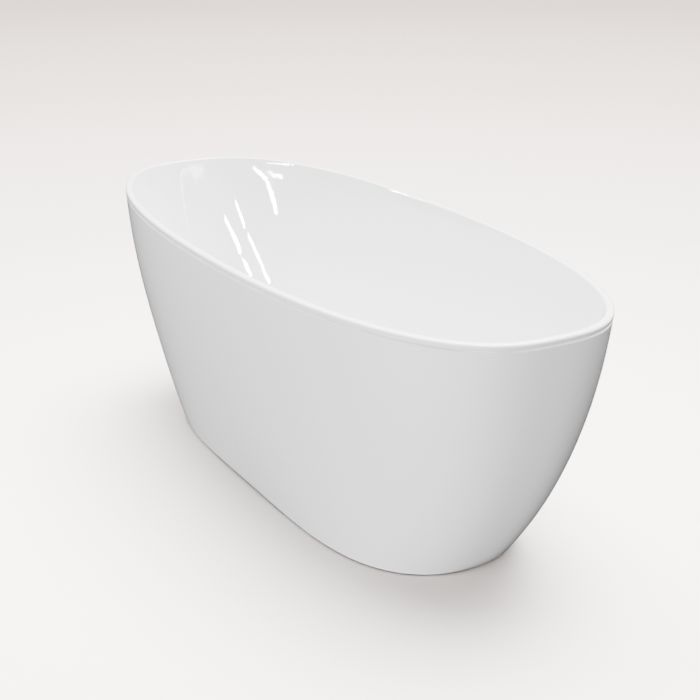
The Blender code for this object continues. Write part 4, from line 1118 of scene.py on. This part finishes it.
# %% [markdown]
# ## Metals
#
# Hot-dip zinc freezes in crystals, so each rail is a patchwork of greys a centimetre across.
# Plated screws and studs are brighter, with a faint blue to straw tint. Chrome is a mirror with
# hairline wipe marks, and turned brass keeps the fine rings of the tool.

# %% Metals
galvanised = Finish("galvanised_steel", (0.55, 0.56, 0.57), 0.4, 1.0)
spangle = galvanised.cells(95.0)
galvanised.set("Base Color", galvanised.blend(spangle, (0.44, 0.45, 0.46), (0.66, 0.67, 0.68)))
galvanised.set("Roughness", 0.30 + 0.22 * spangle + 0.1 * galvanised.noise(14.0, 4.0))
galvanised.bump(galvanised.noise(320.0, 2.0), 0.00005)

zinc = Finish("bright_zinc", (0.66, 0.65, 0.62), 0.28, 1.0)
tint = zinc.step(zinc.noise(90.0, 2.0), 0.35, 0.65)
zinc.set("Base Color", zinc.blend(tint, (0.60, 0.63, 0.68), (0.71, 0.67, 0.57)))
zinc.set("Roughness", 0.22 + 0.16 * zinc.noise(400.0, 3.0))
zinc.bump(zinc.noise(1500.0, 2.0), 0.00002)

chrome = Finish("chrome_plate", (0.83, 0.84, 0.85), 0.05, 1.0)
hairline = chrome.noise(1.0, 3.0, 0.6, chrome.place((2600, 140, 900)))
smudge = chrome.step(chrome.noise(55.0, 4.0, 0.6), 0.5, 0.75)
chrome.set("Roughness", 0.03 + 0.05 * chrome.step(hairline, 0.55, 0.8) + 0.06 * smudge)
chrome.bump(hairline, 0.000004)

brass = Finish("turned_brass", (0.72, 0.53, 0.25), 0.26, 1.0)
ring = brass.noise(1.0, 2.0, 0.5, brass.place((60, 60, 4200)))
brass.set("Base Color", brass.blend(brass.step(brass.noise(70.0, 3.0), 0.35, 0.7),
                                    (0.74, 0.56, 0.28), (0.60, 0.42, 0.18)))
brass.set("Roughness", 0.18 + 0.2 * ring)
brass.bump(ring, 0.00003)

# %% [markdown]
# ## Plastics and rubber
#
# Moulded pieces carry the tool's spark-eroded grain, fine and even. Rubber is duller, with a
# dusty bloom, and the hose is a harder grey plastic that has scuffed on its ridges.

# %% Plastics and rubber
black_plastic = Finish("black_nylon", (0.035, 0.035, 0.037), 0.45)
pebble = black_plastic.cells(2600.0, "Distance")
black_plastic.set("Roughness", 0.36 + 0.2 * black_plastic.noise(35.0, 3.0))
black_plastic.set("Base Color", black_plastic.blend(
    black_plastic.step(black_plastic.noise(22.0, 4.0), 0.4, 0.8), (0.030, 0.030, 0.032),
    (0.052, 0.052, 0.054)))
black_plastic.bump(pebble, 0.00006)

white_plastic = Finish("white_polypropylene", (0.74, 0.74, 0.72), 0.36)
flow = white_plastic.noise(30.0, 3.0, 0.55, white_plastic.place((1.0, 1.0, 0.4)))
white_plastic.set("Base Color", white_plastic.blend(white_plastic.step(flow, 0.3, 0.7),
                                                    (0.70, 0.70, 0.67), (0.78, 0.78, 0.76)))
white_plastic.set("Roughness", 0.28 + 0.16 * flow)
white_plastic.bump(white_plastic.noise(1800.0, 2.0), 0.00003)

grey_plastic = Finish("grey_hose_plastic", (0.42, 0.43, 0.44), 0.48)
scuff = grey_plastic.step(grey_plastic.noise(160.0, 4.0, 0.65), 0.5, 0.75)
grey_plastic.set("Base Color", grey_plastic.blend(scuff, (0.38, 0.39, 0.40),
                                                  (0.52, 0.53, 0.53)))
grey_plastic.set("Roughness", 0.4 + 0.25 * scuff)
grey_plastic.bump(scuff, 0.00005)

rubber = Finish("black_rubber", (0.028, 0.028, 0.028), 0.75)
bloom = rubber.step(rubber.noise(120.0, 4.0, 0.6), 0.45, 0.8)
rubber.set("Base Color", rubber.blend(bloom, (0.022, 0.022, 0.022), (0.060, 0.060, 0.058)))
rubber.set("Roughness", 0.62 + 0.25 * bloom)
rubber.bump(rubber.noise(2200.0, 2.0), 0.00005)

# %% [markdown]
# ## Every piece takes the finish of its slot
#
# The record names one slot for each node, and each new piece names the slot that it stands for.
# One table from slot to finish therefore covers the whole tub, the kept frame pieces included.

# %% Assign finishes
FINISHES = {"acrylic": acrylic, "glass_fibre": laminate, "adhesive": adhesive,
            "plywood": plywood, "galvanised_steel": galvanised, "zinc_steel": zinc,
            "black_plastic": black_plastic, "chrome": chrome, "rubber": rubber, "brass": brass,
            "white_plastic": white_plastic, "grey_hose": grey_plastic}


def paint(finish, target):
    """Give an object this finish in place of whatever it had."""
    if not target.material_slots:
        target.data.materials.append(finish.material)
    for material_slot in target.material_slots:
        material_slot.material = finish.material


for subpart in frame["record"]["subparts"]:
    paint(FINISHES[subpart["material_slot"]], frame["nodes"][subpart["node"]])
for made in bpy.context.scene.objects:
    if made.get("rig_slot"):
        paint(FINISHES[made["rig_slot"]], made)

# %% [markdown]
# ## Camera, floor and light
#
# The picture is a product shot from one end and above the rim, with a long lens and a pale
# floor that fills the frame. The floor's colour carries painted light: it pales towards the tub and
# darkens away from it, a painted falloff that holds the eye in the middle. It is left out of bounced
# light and reflections, so that the skirt keeps its own darker shade above it.

# %% Camera
eye = Vector((2.66387, -1.48390, 1.44249))
aim = Vector((-0.048, 0.073, 0.270))
camera_data = bpy.data.cameras.new("camera")
camera_data.sensor_width = 36.0
camera_data.lens = 69.74
camera = bpy.data.objects.new("camera", camera_data)
bpy.context.scene.collection.objects.link(camera)
camera.location = eye
camera.rotation_euler = (aim - eye).to_track_quat("-Z", "Y").to_euler()
bpy.context.scene.camera = camera

# %% Floor
def disc(name, half_x, half_y, z):
    """A flat oval: a rim x = a cos t, y = b sin t, joined to a tiny ring in its middle."""
    turn = np.linspace(0, 2 * math.pi, 97)[None, :-1]
    rim = np.stack([half_x * np.cos(turn), half_y * np.sin(turn), 0 * turn + z], axis=-1)
    points = np.concatenate([rim, rim * (1e-5, 1e-5, 1)])
    made = mesh_from(name, points, grid_faces(2, 96)[:, ::-1])
    return made


def hide_from(target, *rays):
    """Let these kinds of ray pass an object by."""
    for ray in rays:
        setattr(target, "visible_" + ray, False)


FLOOR_REACH = 40.0
floor = disc("studio_floor", FLOOR_REACH, FLOOR_REACH, 0.0)
hide_from(floor, "diffuse", "glossy", "shadow")

# %% [markdown]
# Right under the tub the floor does shade the skirt. A dark oval just below the floor stands in
# for that: only bounced light and shadows meet it.

# %% Floor shade
floor_shade = disc("floor_shade", 1.05 * FOOT_HALF_LENGTH, 1.08 * FOOT_HALF_WIDTH, -0.002)
hide_from(floor_shade, "camera", "glossy")
paint(Finish("shade_paint", (0.05, 0.05, 0.05), 1.0), floor_shade)

# %% Floor paint
floor_paint = Finish("floor_paint", (0.93, 0.925, 0.92), 0.9)
# Painted light falloff: the floor's base colour is palest by the tub and grows darker and warmer
# with distance, standing in for light that fades away from the set.
away = floor_paint.node("ShaderNodeVectorMath", {"operation": "LENGTH"}, floor_paint.place())
SPREAD = 12.0
painted_light_falloff = floor_paint.node("ShaderNodeValToRGB",
                        None, Signal(floor_paint, away.outputs["Value"]) / SPREAD)
painted_falloff_stops = [(0.0, 0.93), (0.9, 0.88), (2.5, 0.66), (5.3, 0.44), (9.6, 0.26), (SPREAD, 0.20)]
while len(painted_light_falloff.color_ramp.elements) < len(painted_falloff_stops):
    painted_light_falloff.color_ramp.elements.new(1.0)
for stop, (radius, shade) in zip(painted_light_falloff.color_ramp.elements, painted_falloff_stops):
    warmth = 0.07 + 0.22 * min(radius, 7.0) / SPREAD
    stop.position = radius / SPREAD
    stop.color = (shade, shade * (1 - warmth), shade * (1 - 1.5 * warmth), 1.0)
floor_paint.set("Base Color", painted_light_falloff.outputs["Color"])
paint(floor_paint, floor)


# %% [markdown]
# ## Backdrop
#
# Seen from low down the floor ends at the horizon, and the sky that lights the tub is dark in
# places. A pale dome closes the view. Only the camera sees it, so it adds no light.

# %% Backdrop
around = np.linspace(0, 2 * math.pi, 97)[None, :-1]
upward = np.linspace(-0.02, 0.4999 * math.pi, 25)[:, None]
dome = (FLOOR_REACH - 0.5) * np.stack([
    np.cos(upward) * np.cos(around), np.cos(upward) * np.sin(around),
    np.sin(upward) + 0 * around], axis=-1)
backdrop = mesh_from("backdrop", dome, grid_faces(25, 96)[:, ::-1])
hide_from(backdrop, "diffuse", "glossy", "transmission", "volume_scatter", "shadow")
backdrop_paint = Finish("backdrop_paint", (0.0, 0.0, 0.0), 1.0, Emission_Strength=1.75)
backdrop_paint.set("Emission Color", (1.0, 0.84, 0.76, 1.0))
paint(backdrop_paint, backdrop)

# %% [markdown]
# ## Soft light from all round, thin strips for the gloss
#
# The soft light is the world itself. Each lobe is a bright patch of sky at one elevation and
# azimuth: the dot product of the view direction with the lobe's own, cut off at zero and raised
# to a power, where a high power makes a narrow patch.

# %% Soft light
# elevation, azimuth, power, strength
LOBES = [(-20, -90, 7, 5.2), (-20, -45, 7, 3.5), (12, -45, 9, 3.6), (40, 135, 9, 1.0),
         (65, 180, 24, 26), (65, 60, 24, 11), (65, 120, 24, 59), (90, 0, 60, 51)]


def toward(elevation, azimuth):
    """Unit vector at an elevation and an azimuth in degrees, counted from +X towards +Y."""
    up, around = math.radians(elevation), math.radians(azimuth)
    return (math.cos(up) * math.cos(around), math.cos(up) * math.sin(around), math.sin(up))


world = bpy.data.worlds.new("studio")
bpy.context.scene.world = world
world.use_nodes = True
sky = Graph(world.node_tree)
direction = sky.node("ShaderNodeTexCoord").outputs["Generated"]
radiance = 0.03
for elevation, azimuth, power, weight in LOBES:
    facing = sky.node("ShaderNodeVectorMath", {"operation": "DOT_PRODUCT"}, direction,
                      toward(elevation, azimuth))
    radiance = Signal(sky, facing.outputs["Value"]).at_least(0.0) ** power * weight + radiance
sky.feed(world.node_tree.nodes["Background"].inputs["Strength"], radiance)
sky.feed(world.node_tree.nodes["Background"].inputs["Color"], (1.0, 0.998, 0.998, 1.0))

# %% [markdown]
# Gloss needs something thin and bright to mirror. The head wall of the basin shows bent, broken
# streaks, so ten short strips stand about a third of a metre from that wall. Each one is where
# the camera's line of sight goes after the wall has mirrored it, so they suit this camera only.
# They light nothing but the gloss.

# %% Strips
def lamp(name, kind, unseen_by):
    """A light that neither the camera nor one more kind of ray can see."""
    made = bpy.data.objects.new(name, bpy.data.lights.new(name, kind))
    bpy.context.scene.collection.objects.link(made)
    hide_from(made, "camera", unseen_by)
    return made


def glow(panel, length, width, radiance):
    """Size an area light. Its power is pi times its area times its radiance, which is the rule
    for a surface that glows evenly."""
    panel.data.shape = "RECTANGLE"
    panel.data.size, panel.data.size_y = length, width
    panel.data.energy = radiance * math.pi * length * width


def strip(name, start, end, width, radiance):
    """A thin straight light from start to end, facing the head of the basin."""
    first, last = Vector(start), Vector(end)
    centre = (first + last) / 2
    along = (last - first).normalized()
    across = (centre - BASIN_HEAD).cross(along).normalized()
    facing = along.cross(across)
    made = lamp(name, "AREA", "diffuse")
    glow(made, (last - first).length, width, radiance)
    made.data.spread = math.radians(80)
    place = Matrix((along, across, facing)).transposed().to_4x4()
    place.translation = centre
    made.matrix_world = place


BASIN_HEAD = Vector((-0.72, 0.12, 0.42))
# start, end, width, radiance
STRIPS = {
    "strip_left_upper": ((-0.465, 0.060, 0.645), (-0.434, -0.036, 0.541), 0.018, 230),
    "strip_left_lower": ((-0.428, -0.048, 0.518), (-0.436, -0.104, 0.462), 0.016, 230),
    "strip_middle_upper": ((-0.508, -0.037, 0.682), (-0.501, -0.089, 0.600), 0.013, 230),
    "strip_middle_lower": ((-0.500, -0.106, 0.574), (-0.529, -0.178, 0.394), 0.015, 230),
    "strip_hook_top": ((-0.655, -0.130, 0.741), (-0.754, -0.110, 0.690), 0.012, 220),
    "strip_hook_upper": ((-0.651, -0.127, 0.736), (-0.690, -0.141, 0.671), 0.011, 220),
    "strip_hook_lower": ((-0.688, -0.141, 0.664), (-0.672, -0.148, 0.560), 0.011, 220),
    "strip_barb": ((-0.693, -0.134, 0.702), (-0.727, -0.121, 0.650), 0.011, 200),
    "strip_faint_left": ((-0.644, 0.177, 0.741), (-0.537, 0.152, 0.635), 0.006, 9),
    "strip_faint_right": ((-0.577, 0.128, 0.775), (-0.522, 0.161, 0.591), 0.008, 12),
}
for name, numbers in STRIPS.items():
    strip(name, *numbers)
print("strips:", len(STRIPS))

# %% [markdown]
# ## Fill for the far side
#
# The side turned away from the camera would go dull without light of its own. A low, very soft
# sun gives it some, kept out of reflections so that the near side's outline keeps its dark edge.

# %% Fill
fill = lamp("back_fill", "SUN", "glossy")
fill.data.energy = 0.8
fill.data.angle = math.radians(45)
fill.rotation_euler = Vector(toward(-8, -40)).to_track_quat("-Z", "Y").to_euler()

# %% [markdown]
# A second box gives the chrome on the near wall something pale to mirror. It lights nothing else.

# %% Card for the chrome
card = lamp("chrome_card", "AREA", "diffuse")
glow(card, 6.0, 3.4, 1.1)
card.location = 4.5 * Vector(toward(20, 62))
card.rotation_euler = (-card.location).to_track_quat("-Z", "Y").to_euler()
